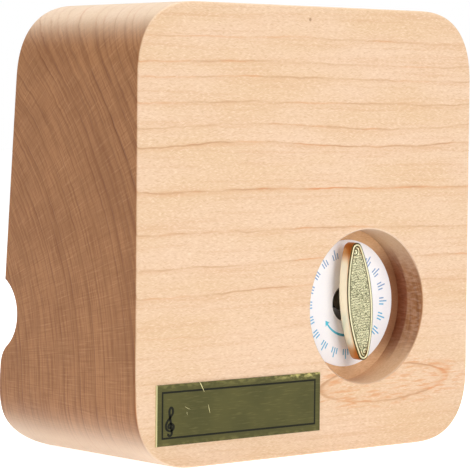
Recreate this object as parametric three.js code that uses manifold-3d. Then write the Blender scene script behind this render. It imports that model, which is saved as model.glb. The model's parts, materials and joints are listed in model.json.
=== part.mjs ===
// A wind-up music box: a round-cornered block of maple with an 18-note movement inside it.
// Millimetres, +Z up. The back, with the winding key in its round recess, faces +Y, and the
// origin is the middle of the base. The movement has a frame of its own: the key's axis is
// its z, pointing from the back into the block, x is the block's x and y points up.
import * as THREE from 'three';
import { mergeVertices } from 'three/addons/utils/BufferGeometryUtils.js';
import Module from 'manifold-3d';

const wasm = await Module();
wasm.setup();

// Clearances shared by many pieces
const gap = {
  running: 0.05,
  screw: 0.1,
  turning: 0.4,
  cavity: 1.2,
  cover: 0.3,
  overrun: 1,
};

// The wooden block: round corners, a back that is flat, a front that leans back
const caseBlock = {
  width: 100,
  height: 100,
  depth: 50,
  cornerRadius: 17.25,
  cornerExponent: 2.54,
  frontLeanAngle: 5,
  footRadius: 8,
};
// The groove across the front, with a crisp upper edge and a rounded lip below it
const cove = { radius: 8.8, depth: 5.2, height: 30.9, lipRadius: 6 };
// The round recess in the back, and the hole in its floor
const recess = { x: -17.4, height: 32.5, radius: 17.5, depth: 8, floor: 4, holeRadius: 4.9 };
const keyAxis = { x: -17.5, height: 33.4 };
const label = { x: -18, height: 32.7, radius: 14.6, holeRadius: 4.3, thickness: 0.2 };
const titlePlate = { width: 47.2, height: 13.1, thickness: 0.3, sideMargin: 5.5, baseMargin: 5.3 };
const cover = { thickness: 3, inset: 0.8, lip: 5 };
const soundSlot = { count: 4, width: 5, length: 18, spacing: 10 };

// The winding key, a lozenge of cast brass on a short stem
const key = {
  length: 27.1,
  width: 7.9,
  thickness: 3.1,
  tipRadius: 1.7,
  bevel: 0.25,
  rim: 0.7,
  panelDepth: 0.2,
  topDepth: 2.4,
  tiltAngle: 5.8,
  stemRadius: 2.5,
};
const arbor = { radius: 2, studRadius: 1.3, studLength: 2.6, shoulder: 3, tail: 1.1 };

// The movement's frame and spring
const bedPlate = { thickness: 2.5, margin: 1.3, cornerRadius: 2 };
const housing = { radius: 12, wall: 0.8, height: 8.5, lugReach: 3.8, lugWidth: 4.4 };
const mainspring = { thickness: 0.4, turnCount: 6, slack: 0.5 };
const driveWheel = { thickness: 1.2, face: 2.2 };
const ratchet = { toothCount: 12, radius: 4.4, toothDepth: 0.7, thickness: 0.8 };
const click = {
  pivotRadius: 6.1,
  eyeRadius: 1,
  tipWidth: 0.5,
  boreRadius: 0.45,
  pivotAngle: 200,
  reachAngle: 40,
};
const clickSpring = {
  thickness: 0.3,
  eyeRadius: 0.9,
  boreRadius: 0.4,
  startAngle: 214,
  endAngle: 290,
};
const retainer = { radius: 3.2, thickness: 0.6, mouth: 2.2 };

// Gear pairs
const driveGears = { module: 0.5, wheelTeeth: 36, pinionTeeth: 9 };
const governorGears = { module: 0.35, wheelTeeth: 40, pinionTeeth: 10, face: 1.4 };
const wormGears = { module: 0.35, wheelTeeth: 20, wormRadius: 1.3, turnCount: 6 };

// The pinned cylinder and the comb that its pins pass
const cylinder = { radius: 6.5, wall: 0.8, length: 15, plug: 1.2 };
const pin = { width: 0.36, height: 0.5, sunkDepth: 0.3, perTrackCount: 3 };
const cylinderArbor = { radius: 1 };
const comb = {
  toothCount: 18,
  slit: 0.26,
  thickness: 1,
  tipGap: 0.2,
  longTooth: 12,
  shortTooth: 7,
  depth: 18,
};
const combSeat = { depth: 6.6, overlap: 0.6 };
const bracket = { thickness: 1.2, width: 6, footLength: 5, footHeight: 1.2, crown: 1.8 };

// The governor: an arbor with a wheel that turns a worm with a fly on it
const governorArbor = { radius: 0.5, wheelGap: 0.8 };
const governorFrame = { base: 1, wall: 1.2, ear: 1.25, armGap: 0.8, arm: 1.2 };
const wormWheel = { thickness: 1.5 };
const wormShaft = { radius: 0.4, end: 0.1 };
const fly = { radius: 3, height: 5, thickness: 0.5, hubRadius: 0.9, lift: 1 };
const bearingCap = { length: 5.4, width: 3, thickness: 0.6 };

// Screws and rivets: radii, the head's height, and the length where it isn't worked out
const movementScrew = { headRadius: 2.3, headHeight: 1.3, radius: 1.1, circle: 10.5, drop: 0.1 };
const coverScrew = { headRadius: 2.1, headHeight: 1.4, radius: 1.1, length: 10, drop: 0.1 };
const combScrew = { headRadius: 2, headHeight: 1.1, radius: 1, length: 6 };
const smallScrew = { headRadius: 1.5, headHeight: 0.9, radius: 0.8, length: 3.2 };
const capScrew = { headRadius: 0.8, headHeight: 0.5, radius: 0.4, length: 1.5 };
const housingRivet = { headRadius: 1.4, headHeight: 0.6, radius: 0.8 };
const clickRivet = { headRadius: 0.9, headHeight: 0.4 };

// Shares of a tooth's pitch or module, of a screw head, and of a gear's pitch circle
const toothShares = { root: 0.58, tip: 0.22, dedendum: 1.25, addendum: 0.9 };
const pinionShares = { root: 0.42, tip: 0.14, dedendum: 1.25, addendum: 0.9 };
const crownShares = { root: 0.5, tip: 0.2, height: 2.05 };
const threadShares = { root: 0.5, tip: 0.16 };
const crossShares = { width: 0.22, length: 0.62, depth: 0.5 };

// How many sides or steps round shapes have
const counts = {
  recessSides: 64,
  cornerSteps: 12,
  arcSteps: 12,
  filletSteps: 4,
  eyeSteps: 8,
  discSides: 36,
  shaftSides: 16,
  screwSides: 10,
  springSteps: 16,
  threadSteps: 8,
};

const X = new THREE.Vector3(1, 0, 0);
const Y = new THREE.Vector3(0, 1, 0);
const Z = new THREE.Vector3(0, 0, 1);
const radians = THREE.MathUtils.degToRad;

const maple = new THREE.MeshStandardMaterial({ color: 0xf0cfab, roughness: 0.55, metalness: 0 });
const plywood = new THREE.MeshStandardMaterial({ color: 0xdcb98f, roughness: 0.65, metalness: 0 });
const paper = new THREE.MeshStandardMaterial({ color: 0xf4f2f8, roughness: 0.6, metalness: 0 });
const oliveBrass = new THREE.MeshStandardMaterial({ color: 0x5f5d39, roughness: 0.45, metalness: 0.6 });
const keyBrass = new THREE.MeshStandardMaterial({ color: 0xd9c992, roughness: 0.35, metalness: 0.9 });
const brass = new THREE.MeshStandardMaterial({ color: 0xcaa552, roughness: 0.3, metalness: 0.9 });
const castZinc = new THREE.MeshStandardMaterial({ color: 0xa9a9a4, roughness: 0.5, metalness: 0.8 });
const steel = new THREE.MeshStandardMaterial({ color: 0xb9bbbd, roughness: 0.28, metalness: 0.95 });
const springSteel = new THREE.MeshStandardMaterial({ color: 0x5d6570, roughness: 0.3, metalness: 0.9 });
const nylon = new THREE.MeshStandardMaterial({ color: 0xe9e4d6, roughness: 0.5, metalness: 0 });

// Closed solids and booleans

function solidOf(geometry) {
  const bare = geometry.clone();
  bare.deleteAttribute('normal');
  bare.deleteAttribute('uv');
  const merged = mergeVertices(bare);
  const vertProperties = new Float32Array(merged.attributes.position.array);
  const triVerts = new Uint32Array(merged.index.array);
  return new wasm.Manifold(new wasm.Mesh({ numProp: 3, vertProperties, triVerts }));
}

function geometryOf(solid) {
  const mesh = solid.getMesh();
  const geometry = new THREE.BufferGeometry();
  geometry.setAttribute('position', new THREE.BufferAttribute(mesh.vertProperties, 3));
  geometry.setIndex(new THREE.BufferAttribute(mesh.triVerts, 1));
  geometry.computeVertexNormals();
  return geometry;
}

function joined(geometries) {
  return geometries.map(solidOf).reduce((whole, next) => whole.add(next));
}

function cut(solid, geometries) {
  return geometries.map(solidOf).reduce((rest, next) => rest.subtract(next), solid);
}

// Basic forms: a box between two corners, a turned piece on z, and a flat outline extruded up z

function block([x0, y0, z0], [x1, y1, z1]) {
  const geometry = new THREE.BoxGeometry(x1 - x0, y1 - y0, z1 - z0);
  return geometry.translate((x0 + x1) / 2, (y0 + y1) / 2, (z0 + z1) / 2);
}

function turned(profile, count) {
  const points = profile.map(([radius, height]) => new THREE.Vector2(radius, height));
  return new THREE.LatheGeometry(points, count).rotateX(Math.PI / 2);
}

function rod(radius, bottom, top, count) {
  return turned([[0, bottom], [radius, bottom], [radius, top], [0, top]], count);
}

function tube(inner, outer, bottom, top, count) {
  const wall = [[inner, bottom], [outer, bottom], [outer, top], [inner, top], [inner, bottom]];
  return turned(wall, count);
}

// Rods that stand at several places, to be cut away as holes
function bores(radius, bottom, top, places) {
  return places.map(([x, y]) => rod(radius, bottom, top, counts.screwSides).translate(x, y, 0));
}

function plate(outline, bottom, top, holes = []) {
  const shape = new THREE.Shape(outline.map(([x, y]) => new THREE.Vector2(x, y)));
  for (const hole of holes) {
    shape.holes.push(new THREE.Path(hole.map(([x, y]) => new THREE.Vector2(x, y))));
  }
  const geometry = new THREE.ExtrudeGeometry(shape, { depth: top - bottom, bevelEnabled: false });
  return geometry.translate(0, 0, bottom);
}

// Turns a form made on z so that it lies on x, with its x on y and its y on z
function alongX(geometry) {
  return geometry.applyMatrix4(new THREE.Matrix4().makeBasis(Y, Z, X));
}

function arcPoints(cx, cy, radius, from, to, steps) {
  const points = [];
  for (let i = 0; i <= steps; i += 1) {
    const angle = from + ((to - from) * i) / steps;
    points.push([cx + radius * Math.cos(angle), cy + radius * Math.sin(angle)]);
  }
  return points;
}

function circle(cx, cy, radius, count) {
  return arcPoints(cx, cy, radius, 0, 2 * Math.PI, count).slice(0, count);
}

function roundedRectangle(x0, y0, x1, y1, radius, steps) {
  return [
    ...arcPoints(x1 - radius, y0 + radius, radius, -Math.PI / 2, 0, steps),
    ...arcPoints(x1 - radius, y1 - radius, radius, 0, Math.PI / 2, steps),
    ...arcPoints(x0 + radius, y1 - radius, radius, Math.PI / 2, Math.PI, steps),
    ...arcPoints(x0 + radius, y0 + radius, radius, Math.PI, 1.5 * Math.PI, steps),
  ];
}

// Gears: trapezoid teeth round a circle, the first one centred at the angle turn
function gearOutline(teeth, module, turn, shares) {
  const pitchRadius = (module * teeth) / 2;
  const root = pitchRadius - shares.dedendum * module;
  const tip = pitchRadius + shares.addendum * module;
  const pitch = (2 * Math.PI) / teeth;
  const points = [];
  for (let i = 0; i < teeth; i += 1) {
    const middle = turn + i * pitch;
    const rootHalf = (shares.root * pitch) / 2;
    const tipHalf = (shares.tip * pitch) / 2;
    const corners = [[root, -rootHalf], [tip, -tipHalf], [tip, tipHalf], [root, rootHalf]];
    for (const [radius, angle] of corners) {
      points.push([radius * Math.cos(middle + angle), radius * Math.sin(middle + angle)]);
    }
  }
  return points;
}

// Screws stand with the head's top at zero and the shank pointing down
function screw(size, length, countersunk) {
  const neck = -size.headHeight;
  const head = countersunk ? [[size.headRadius, 0]] : [[size.headRadius, neck], [size.headRadius, 0]];
  const profile = [[0, -length], [size.radius, -length], [size.radius, neck], ...head, [0, 0]];
  const half = (crossShares.width * size.headRadius) / 2;
  const reach = crossShares.length * size.headRadius;
  const depth = crossShares.depth * size.headHeight;
  const cross = [
    block([-reach, -half, -depth], [reach, half, gap.overrun]),
    block([-half, -reach, -depth], [half, reach, gap.overrun]),
  ];
  return geometryOf(cut(solidOf(turned(profile, counts.screwSides)), cross));
}

function rivet(size, radius, length) {
  const neck = -size.headHeight;
  const head = [[size.headRadius, neck], [size.headRadius, 0]];
  return turned([[0, -length], [radius, -length], [radius, neck], ...head, [0, 0]], counts.screwSides);
}

// Places in the case
const backFace = (caseBlock.depth - titlePlate.thickness) / 2;
const innerFace = backFace - recess.depth - recess.floor;
const toCase = new THREE.Matrix4().makeRotationX(Math.PI / 2);
toCase.setPosition(keyAxis.x, innerFace, keyAxis.height);

// Places along the key's axis
const onPlate = bedPlate.thickness;
const housingTop = onPlate + housing.height;
const wheelBottom = housingTop + gap.turning;
const wheelTop = wheelBottom + driveWheel.thickness;
const drivePitchRadius = (driveGears.module * driveGears.wheelTeeth) / 2;
const crownHeight = crownShares.height * driveGears.module;
const pinionRadius = (driveGears.module * driveGears.pinionTeeth) / 2;
const axisHeight = wheelTop + crownHeight / 2 + pinionRadius;
const ratchetTop = wheelTop + ratchet.thickness;
const arborTop = ratchetTop + arbor.tail;

// Places along the cylinder's axis
const crownInner = drivePitchRadius - driveWheel.face / 2;
const crownOuter = drivePitchRadius + driveWheel.face / 2;
const clickSpringRadius = crownInner - clickSpring.eyeRadius - gap.screw;
const bracketStart = Math.max(housing.radius, crownOuter) + gap.turning;
const bracketEnd = bracketStart + bracket.thickness;
const cylinderStart = bracketEnd + gap.turning;
const cylinderEnd = cylinderStart + cylinder.length;
const gearEnd = cylinderEnd + governorGears.face;
const wormWheelStart = gearEnd + governorArbor.wheelGap;
const wormWheelEnd = wormWheelStart + wormWheel.thickness;
const frameWallStart = wormWheelEnd + governorArbor.wheelGap;
const frameWallEnd = frameWallStart + governorFrame.wall;
const frameStart = cylinderEnd - gap.turning - governorFrame.wall;

// Places across the cylinder's axis
const gearRadius = (governorGears.module * governorGears.wheelTeeth) / 2;
const governorPinionRadius = (governorGears.module * governorGears.pinionTeeth) / 2;
const governorY = -(gearRadius + governorPinionRadius);
const wormWheelRadius = (wormGears.module * wormGears.wheelTeeth) / 2;
const wormX = (wormWheelStart + wormWheelEnd) / 2;
const wormY = governorY - wormWheelRadius - wormGears.wormRadius;
const pinTop = cylinder.radius + pin.height;
const combTip = pinTop + comb.tipGap;
const combEnd = combTip + comb.depth;
const combBottom = axisHeight - comb.thickness / 2;
const combTop = combBottom + comb.thickness;
const wormLead = Math.PI * wormGears.module;
const wormHalf = (wormLead * wormGears.turnCount) / 2;
const armBottom = axisHeight + wormWheelRadius + wormGears.module + governorFrame.armGap;
const armTop = armBottom + governorFrame.arm;
const frameBase = onPlate + governorFrame.base;

// The bed plate reaches round everything that stands on it
const bed = {
  left: -(housing.radius + bedPlate.margin),
  right: frameWallEnd + bedPlate.margin,
  bottom: wormY - fly.radius - bedPlate.margin,
  top: combEnd + bedPlate.margin,
};
const capTop = armTop + bearingCap.thickness + capScrew.headHeight;
const tallest = Math.max(pinTop, gearRadius + governorGears.module, capTop - axisHeight);
const cavity = {
  left: keyAxis.x + bed.left - gap.cavity,
  right: keyAxis.x + bed.right + gap.cavity,
  front: innerFace - axisHeight - tallest - gap.cavity,
  back: innerFace,
  top: keyAxis.height + bed.top + gap.cavity,
};
const coverTop = cover.inset + cover.thickness;
const rebate = {
  left: cavity.left - cover.lip,
  right: cavity.right + cover.lip,
  front: cavity.front - cover.lip,
  back: cavity.back + cover.lip,
};

function onCircle(radius, degrees) {
  return [radius * Math.cos(radians(degrees)), radius * Math.sin(radians(degrees))];
}

const movementScrewPlaces = [90, 210, 330].map((angle) => onCircle(movementScrew.circle, angle));
const lugAngles = [90, 225, 315];
const lugPlaces = lugAngles.map((angle) => onCircle(housing.radius + housing.lugReach / 2, angle));
const bracketScrewPlace = [bracketEnd + bracket.footLength / 2, 0];
const frameMiddle = (frameStart + frameWallEnd) / 2;
const frameScrewPlaces = [[frameMiddle, governorY / 2], [frameMiddle, bracket.crown / 2]];
const seatMiddle = combEnd - combSeat.depth / 2;
const capScrewPlace = [wormX, wormY + bearingCap.length - bearingCap.width];
const combScrewPlaces = [
  [cylinderStart + cylinder.length / 4, seatMiddle],
  [cylinderEnd - cylinder.length / 4, seatMiddle],
];
const coverScrewPlaces = [
  [rebate.left + cover.lip / 2, rebate.front + cover.lip / 2],
  [rebate.right - cover.lip / 2, rebate.front + cover.lip / 2],
  [rebate.right - cover.lip / 2, rebate.back - cover.lip / 2],
  [rebate.left + cover.lip / 2, rebate.back - cover.lip / 2],
];

// The block's outline seen from the back: straight sides and superellipse corners
function caseOutline() {
  const { width, height, cornerRadius, cornerExponent } = caseBlock;
  const bend = (value) => cornerRadius * Math.sign(value) * Math.abs(value) ** (2 / cornerExponent);
  const points = [];
  [[1, -1], [1, 1], [-1, 1], [-1, -1]].forEach(([sx, sz], quarter) => {
    for (let i = 0; i <= counts.cornerSteps; i += 1) {
      const angle = ((quarter - 1 + i / counts.cornerSteps) * Math.PI) / 2;
      const x = sx * (width / 2 - cornerRadius) + bend(Math.cos(angle));
      const z = height / 2 + sz * (height / 2 - cornerRadius) + bend(Math.sin(angle));
      points.push([x, z]);
    }
  });
  return points;
}

// The block's side view, as distance from the back face and height
function caseProfile() {
  const lean = radians(caseBlock.frontLeanAngle);
  const [nx, nz] = [Math.cos(lean), Math.sin(lean)];
  const foot = caseBlock.footRadius;
  const footDepth = caseBlock.depth - foot;
  const plane = footDepth * nx + foot * nz + foot;
  const onPlane = (offset, along) => {
    const out = plane + offset;
    return [out * nx - along * nz, out * nz + along * nx];
  };
  const coveOut = cove.radius - cove.depth;
  const coveAlong = (cove.height - (plane + coveOut) * nz) / nx;
  const [coveX, coveZ] = onPlane(coveOut, coveAlong);
  const lipReach = Math.sqrt((cove.radius + cove.lipRadius) ** 2 - (coveOut + cove.lipRadius) ** 2);
  const [lipX, lipZ] = onPlane(-cove.lipRadius, coveAlong - lipReach);
  const upper = onPlane(0, coveAlong + Math.sqrt(cove.radius ** 2 - coveOut ** 2));
  const lipEnd = Math.atan2(coveZ - lipZ, coveX - lipX);
  const coveStart = lipEnd - Math.PI;
  const coveEnd = Math.atan2(upper[1] - coveZ, upper[0] - coveX) - 2 * Math.PI;
  const top = (caseBlock.height - plane * nz) / nx;
  return [
    [0, 0],
    ...arcPoints(footDepth, foot, foot, -Math.PI / 2, lean, counts.arcSteps),
    ...arcPoints(lipX, lipZ, cove.lipRadius, lean, lipEnd, counts.arcSteps / 2),
    ...arcPoints(coveX, coveZ, cove.radius, coveStart, coveEnd, counts.arcSteps).slice(1, -1),
    upper,
    onPlane(0, top),
    [0, caseBlock.height],
  ];
}

function makeCaseBlock() {
  const outline = plate(caseOutline(), -gap.overrun, caseBlock.depth + gap.overrun);
  outline.rotateX(Math.PI / 2).translate(0, backFace, 0);
  const side = plate(caseProfile(), 0, caseBlock.width + 2 * gap.overrun);
  side.applyMatrix4(new THREE.Matrix4().makeBasis(Y.clone().negate(), Z, X.clone().negate()));
  side.translate(caseBlock.width / 2 + gap.overrun, backFace, 0);
  const bore = rod(recess.radius, -recess.depth, gap.overrun, counts.recessSides);
  bore.rotateX(-Math.PI / 2).translate(recess.x, backFace, recess.height);
  const hole = rod(recess.holeRadius, -recess.floor - recess.depth - gap.overrun, 0, counts.discSides);
  hole.rotateX(-Math.PI / 2).translate(recess.x, backFace, recess.height);
  const room = block([cavity.left, cavity.front, -gap.overrun], [cavity.right, cavity.back, cavity.top]);
  const seat = plate(coverOutline(0), -gap.overrun, coverTop);
  const sinks = movementScrewPlaces.flatMap(([x, y]) => screwSinks(x, y));
  const pilotTop = cover.inset + coverScrew.drop + coverScrew.length + gap.overrun;
  const pilots = bores(coverScrew.radius + gap.screw, 0, pilotTop, coverScrewPlaces);
  const whole = solidOf(outline).intersect(solidOf(side));
  return geometryOf(cut(whole, [bore, hole, room, seat, ...sinks, ...pilots]));
}

// A countersunk hole through the recess floor, in the case's frame
function screwSinks(x, y) {
  const floor = -recess.floor;
  const neck = movementScrew.radius + gap.screw;
  const rim = movementScrew.headRadius + gap.screw + movementScrew.drop;
  const mouth = floor - gap.overrun;
  const bottom = floor + movementScrew.headHeight + movementScrew.drop + gap.screw;
  const shank = rod(neck, mouth, gap.overrun, counts.screwSides);
  const cone = [[0, mouth], [rim, mouth], [rim, floor], [neck, bottom], [0, bottom]];
  const sink = turned(cone, counts.screwSides);
  return [shank, sink].map((form) => form.translate(x, y, 0).applyMatrix4(toCase));
}

function coverOutline(shrink) {
  const [x0, y0] = [rebate.left + shrink, rebate.front + shrink];
  const [x1, y1] = [rebate.right - shrink, rebate.back - shrink];
  return roundedRectangle(x0, y0, x1, y1, cover.lip / 2 - shrink, counts.filletSteps);
}

function makeCover() {
  const middleX = (rebate.left + rebate.right) / 2;
  const middleY = (rebate.front + rebate.back) / 2;
  const slots = Array.from({ length: soundSlot.count }, (_, i) => {
    const x = middleX + (i - (soundSlot.count - 1) / 2) * soundSlot.spacing;
    const [across, along] = [soundSlot.width / 2, soundSlot.length / 2];
    const [bottom, top] = [middleY - along, middleY + along];
    return roundedRectangle(x - across, bottom, x + across, top, across, counts.filletSteps);
  });
  const board = plate(coverOutline(gap.cover), cover.inset, coverTop, slots);
  const holes = coverScrewPlaces.map(([x, y]) => {
    const rim = coverScrew.headRadius + gap.screw + coverScrew.drop;
    const shank = coverScrew.radius + gap.screw;
    const neck = cover.inset + coverScrew.headHeight + coverScrew.drop + gap.screw;
    const end = coverTop + gap.overrun;
    const profile = [[0, 0], [rim, 0], [rim, cover.inset], [shank, neck], [shank, end], [0, end]];
    return turned(profile, counts.screwSides).translate(x, y, 0);
  });
  return geometryOf(cut(solidOf(board), holes));
}

// The key's outline: two long arcs that meet round tips, its length on y
function keyOutline(inset) {
  const half = key.width / 2 - inset;
  const tip = key.tipRadius - inset;
  const tipY = key.length / 2 - key.tipRadius;
  const radius = (tipY ** 2 + half ** 2 - tip ** 2) / (2 * (half - tip));
  const swing = Math.asin(tipY / (radius - tip));
  return [
    ...arcPoints(half - radius, 0, radius, -swing, swing, counts.arcSteps),
    ...arcPoints(0, tipY, tip, swing, Math.PI - swing, counts.arcSteps / 2).slice(1, -1),
    ...arcPoints(radius - half, 0, radius, Math.PI - swing, Math.PI + swing, counts.arcSteps),
    ...arcPoints(0, -tipY, tip, Math.PI + swing, 2 * Math.PI - swing, counts.arcSteps / 2).slice(1, -1),
  ];
}

// Key and stem, from the face that shows (its lowest z) to the arbor's shoulder
function makeKey() {
  const face = key.topDepth - recess.depth - recess.floor;
  const under = face + key.thickness;
  const layers = [
    plate(keyOutline(key.bevel), face, face + key.bevel),
    plate(keyOutline(0), face + key.bevel, under - key.bevel),
    plate(keyOutline(key.bevel), under - key.bevel, under),
    rod(key.stemRadius, under - key.bevel, -arbor.shoulder, counts.shaftSides),
  ];
  const panel = plate(keyOutline(key.rim), face - gap.overrun, face + key.panelDepth);
  const socketEnd = -arbor.shoulder - arbor.studLength - gap.screw;
  const socket = rod(arbor.studRadius + gap.running, socketEnd, gap.overrun, counts.shaftSides);
  return geometryOf(cut(joined(layers), [panel, socket]));
}

function makeArbor() {
  const profile = [
    [0, -arbor.shoulder - arbor.studLength],
    [arbor.studRadius, -arbor.shoulder - arbor.studLength],
    [arbor.studRadius, -arbor.shoulder],
    [arbor.radius, -arbor.shoulder],
    [arbor.radius, arborTop],
    [0, arborTop],
  ];
  return turned(profile, counts.shaftSides);
}

// Bed plate, with the seat that lifts the comb to the cylinder's axis
function makeBedPlate() {
  const corner = [bedPlate.cornerRadius, counts.filletSteps];
  const outline = roundedRectangle(bed.left, bed.bottom, bed.right, bed.top, ...corner);
  const board = plate(outline, 0, onPlate);
  const seatFront = combEnd - combSeat.depth;
  const seatBack = combEnd + combSeat.overlap;
  const sunk = onPlate - gap.running;
  const seat = block([cylinderStart, seatFront, sunk], [cylinderEnd, seatBack, combBottom]);
  const through = [-gap.overrun, onPlate + gap.overrun];
  const standing = [bracketScrewPlace, ...frameScrewPlaces];
  const holes = [
    rod(arbor.radius + gap.running, ...through, counts.shaftSides),
    ...bores(movementScrew.radius + gap.running, ...through, movementScrewPlaces),
    ...bores(housingRivet.radius + gap.running, ...through, lugPlaces),
    ...bores(smallScrew.radius + gap.running, ...through, standing),
    ...bores(combScrew.radius + gap.running, combTop - combScrew.length, combTop, combScrewPlaces),
  ];
  return geometryOf(cut(joined([board, seat]), holes));
}

// The spring's housing: a drum closed on top, with three lugs on the bed plate
function makeHousing() {
  const { radius, wall, lugReach, lugWidth } = housing;
  const drum = turned([
    [radius - wall, onPlate],
    [radius, onPlate],
    [radius, housingTop],
    [arbor.radius + gap.turning, housingTop],
    [arbor.radius + gap.turning, housingTop - wall],
    [radius - wall, housingTop - wall],
    [radius - wall, onPlate],
  ], counts.discSides);
  const lugs = lugAngles.map((angle) => {
    const half = lugWidth / 2;
    const lug = block([radius - wall / 2, -half, onPlate], [radius + lugReach, half, onPlate + wall]);
    return lug.rotateZ(radians(angle));
  });
  const holes = bores(housingRivet.radius + gap.running, 0, housingTop, lugPlaces);
  return geometryOf(cut(joined([drum, ...lugs]), holes));
}

// The mainspring: a flat strip wound in an even spiral
function makeMainspring() {
  const inner = arbor.radius + mainspring.slack;
  const outer = housing.radius - housing.wall - gap.turning;
  const steps = mainspring.turnCount * counts.springSteps;
  const growth = (outer - inner - mainspring.thickness) / steps;
  const side = (offset) => Array.from({ length: steps + 1 }, (_, i) => {
    const radius = inner + offset + growth * i;
    const angle = (2 * Math.PI * i) / counts.springSteps;
    return [radius * Math.cos(angle), radius * Math.sin(angle)];
  });
  const outline = [...side(mainspring.thickness), ...side(0).reverse()];
  return plate(outline, onPlate + gap.turning, housingTop - housing.wall - gap.turning);
}

// The drive wheel carries the click, and its crown of teeth faces the cylinder's pinion
function makeDriveWheel() {
  const disc = tube(arbor.radius + gap.running, crownOuter, wheelBottom, wheelTop, counts.discSides);
  const pitch = Math.PI * driveGears.module;
  const [rootHalf, tipHalf] = [(crownShares.root * pitch) / 2, (crownShares.tip * pitch) / 2];
  const [sunk, crest] = [wheelTop - gap.screw, wheelTop + crownHeight];
  const foot = [[-rootHalf, sunk], [rootHalf, sunk], [rootHalf, wheelTop]];
  const tooth = [...foot, [tipHalf, crest], [-tipHalf, crest], [-rootHalf, wheelTop]];
  const teeth = Array.from({ length: driveGears.wheelTeeth }, (_, i) => {
    const form = alongX(plate(tooth, crownInner, crownOuter - gap.running));
    return form.rotateZ((2 * Math.PI * i) / driveGears.wheelTeeth);
  });
  const through = [wheelBottom - gap.overrun, wheelTop + gap.overrun];
  const holes = [
    ...bores(click.boreRadius, ...through, [onCircle(click.pivotRadius, click.pivotAngle)]),
    ...bores(clickSpring.boreRadius, ...through, [onCircle(clickSpringRadius, clickSpring.endAngle)]),
  ];
  return geometryOf(cut(joined([disc, ...teeth]), holes));
}

function makeRatchet() {
  const pitch = (2 * Math.PI) / ratchet.toothCount;
  const gullet = ratchet.radius - ratchet.toothDepth;
  const outline = Array.from({ length: ratchet.toothCount }, (_, i) => i * pitch).flatMap((angle) => [
    [gullet * Math.cos(angle), gullet * Math.sin(angle)],
    [ratchet.radius * Math.cos(angle + pitch), ratchet.radius * Math.sin(angle + pitch)],
  ]);
  return plate(outline, wheelTop, ratchetTop, [circle(0, 0, arbor.radius + gap.running, counts.shaftSides)]);
}

// A pawl that reaches from its pivot to the ratchet wheel
function makeClick() {
  const [px, py] = onCircle(click.pivotRadius, click.pivotAngle);
  const [tx, ty] = onCircle(ratchet.radius + gap.screw, click.pivotAngle + click.reachAngle);
  const heading = Math.atan2(ty - py, tx - px);
  const outward = Math.atan2(ty, tx);
  const [ox, oy] = [Math.cos(outward), Math.sin(outward)];
  const [from, to] = [heading + Math.PI / 2, heading + 1.5 * Math.PI];
  const eye = arcPoints(px, py, click.eyeRadius, from, to, counts.eyeSteps);
  const tips = [[tx + click.tipWidth * ox, ty + click.tipWidth * oy], [tx, ty]];
  const bore = circle(px, py, click.boreRadius, counts.screwSides);
  return plate([...eye, ...tips], wheelTop, ratchetTop, [bore]);
}

// A leaf that runs round inside the crown and presses on the click
function makeClickSpring() {
  const { thickness, eyeRadius, boreRadius, startAngle, endAngle } = clickSpring;
  const radius = clickSpringRadius;
  const [from, to] = [radians(startAngle), radians(endAngle)];
  const leaf = [
    ...arcPoints(0, 0, radius + thickness / 2, from, to, counts.arcSteps),
    ...arcPoints(0, 0, radius - thickness / 2, to, from, counts.arcSteps),
  ];
  const [ex, ey] = onCircle(radius, endAngle);
  const eye = circle(ex, ey, eyeRadius, counts.screwSides);
  const forms = [leaf, eye].map((outline) => plate(outline, wheelTop, ratchetTop));
  const bore = bores(boreRadius, 0, ratchetTop + gap.overrun, [[ex, ey]]);
  return geometryOf(cut(joined(forms), bore));
}

// An open ring that keeps the ratchet wheel on the arbor
function makeRetainer() {
  const top = ratchetTop + retainer.thickness;
  const ring = tube(arbor.radius + gap.running, retainer.radius, ratchetTop, top, counts.shaftSides);
  const half = retainer.mouth / 2;
  const mouth = block([0, -half, 0], [retainer.radius + gap.overrun, half, top + gap.overrun]);
  return geometryOf(cut(solidOf(ring), [mouth]));
}

// The pinned tube. Each track's pins are spread by the golden angle
function makeCylinder() {
  const shell = tube(cylinder.radius - cylinder.wall, cylinder.radius, 0, cylinder.length, counts.discSides);
  const golden = Math.PI * (3 - Math.sqrt(5));
  const pitch = cylinder.length / comb.toothCount;
  const pins = [];
  for (let track = 0; track < comb.toothCount; track += 1) {
    for (let i = 0; i < pin.perTrackCount; i += 1) {
      const along = (track + 1 / 2) * pitch;
      const half = pin.width / 2;
      const inside = cylinder.radius - pin.sunkDepth;
      const form = block([inside, -half, along - half], [pinTop, half, along + half]);
      pins.push(form.rotateZ(golden * (track * pin.perTrackCount + i)));
    }
  }
  return alongX(geometryOf(joined([shell, ...pins])));
}

function makeCylinderCap() {
  const rim = cylinder.radius - cylinder.wall - gap.running;
  return alongX(tube(cylinderArbor.radius + gap.running, rim, 0, cylinder.plug, counts.discSides));
}

// The gear at the far end plugs the tube and turns the governor
function makeCylinderGear() {
  const { wheelTeeth, module, face } = governorGears;
  const end = cylinder.plug + face;
  const teeth = plate(gearOutline(wheelTeeth, module, Math.PI, toothShares), cylinder.plug, end);
  const rim = cylinder.radius - cylinder.wall - gap.running;
  const plug = rod(rim, 0, cylinder.plug + gap.running, counts.discSides);
  const bore = rod(cylinderArbor.radius + gap.running, -gap.overrun, end + gap.overrun, counts.shaftSides);
  return alongX(geometryOf(cut(joined([teeth, plug]), [bore])));
}

function makeCylinderArbor() {
  const { module, pinionTeeth } = driveGears;
  const turn = 1.5 * Math.PI - Math.PI / pinionTeeth;
  const teeth = plate(gearOutline(pinionTeeth, module, turn, pinionShares), crownInner, crownOuter);
  const shaft = rod(cylinderArbor.radius, crownOuter - gap.running, frameWallEnd, counts.shaftSides);
  return alongX(geometryOf(joined([teeth, shaft])));
}

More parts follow.
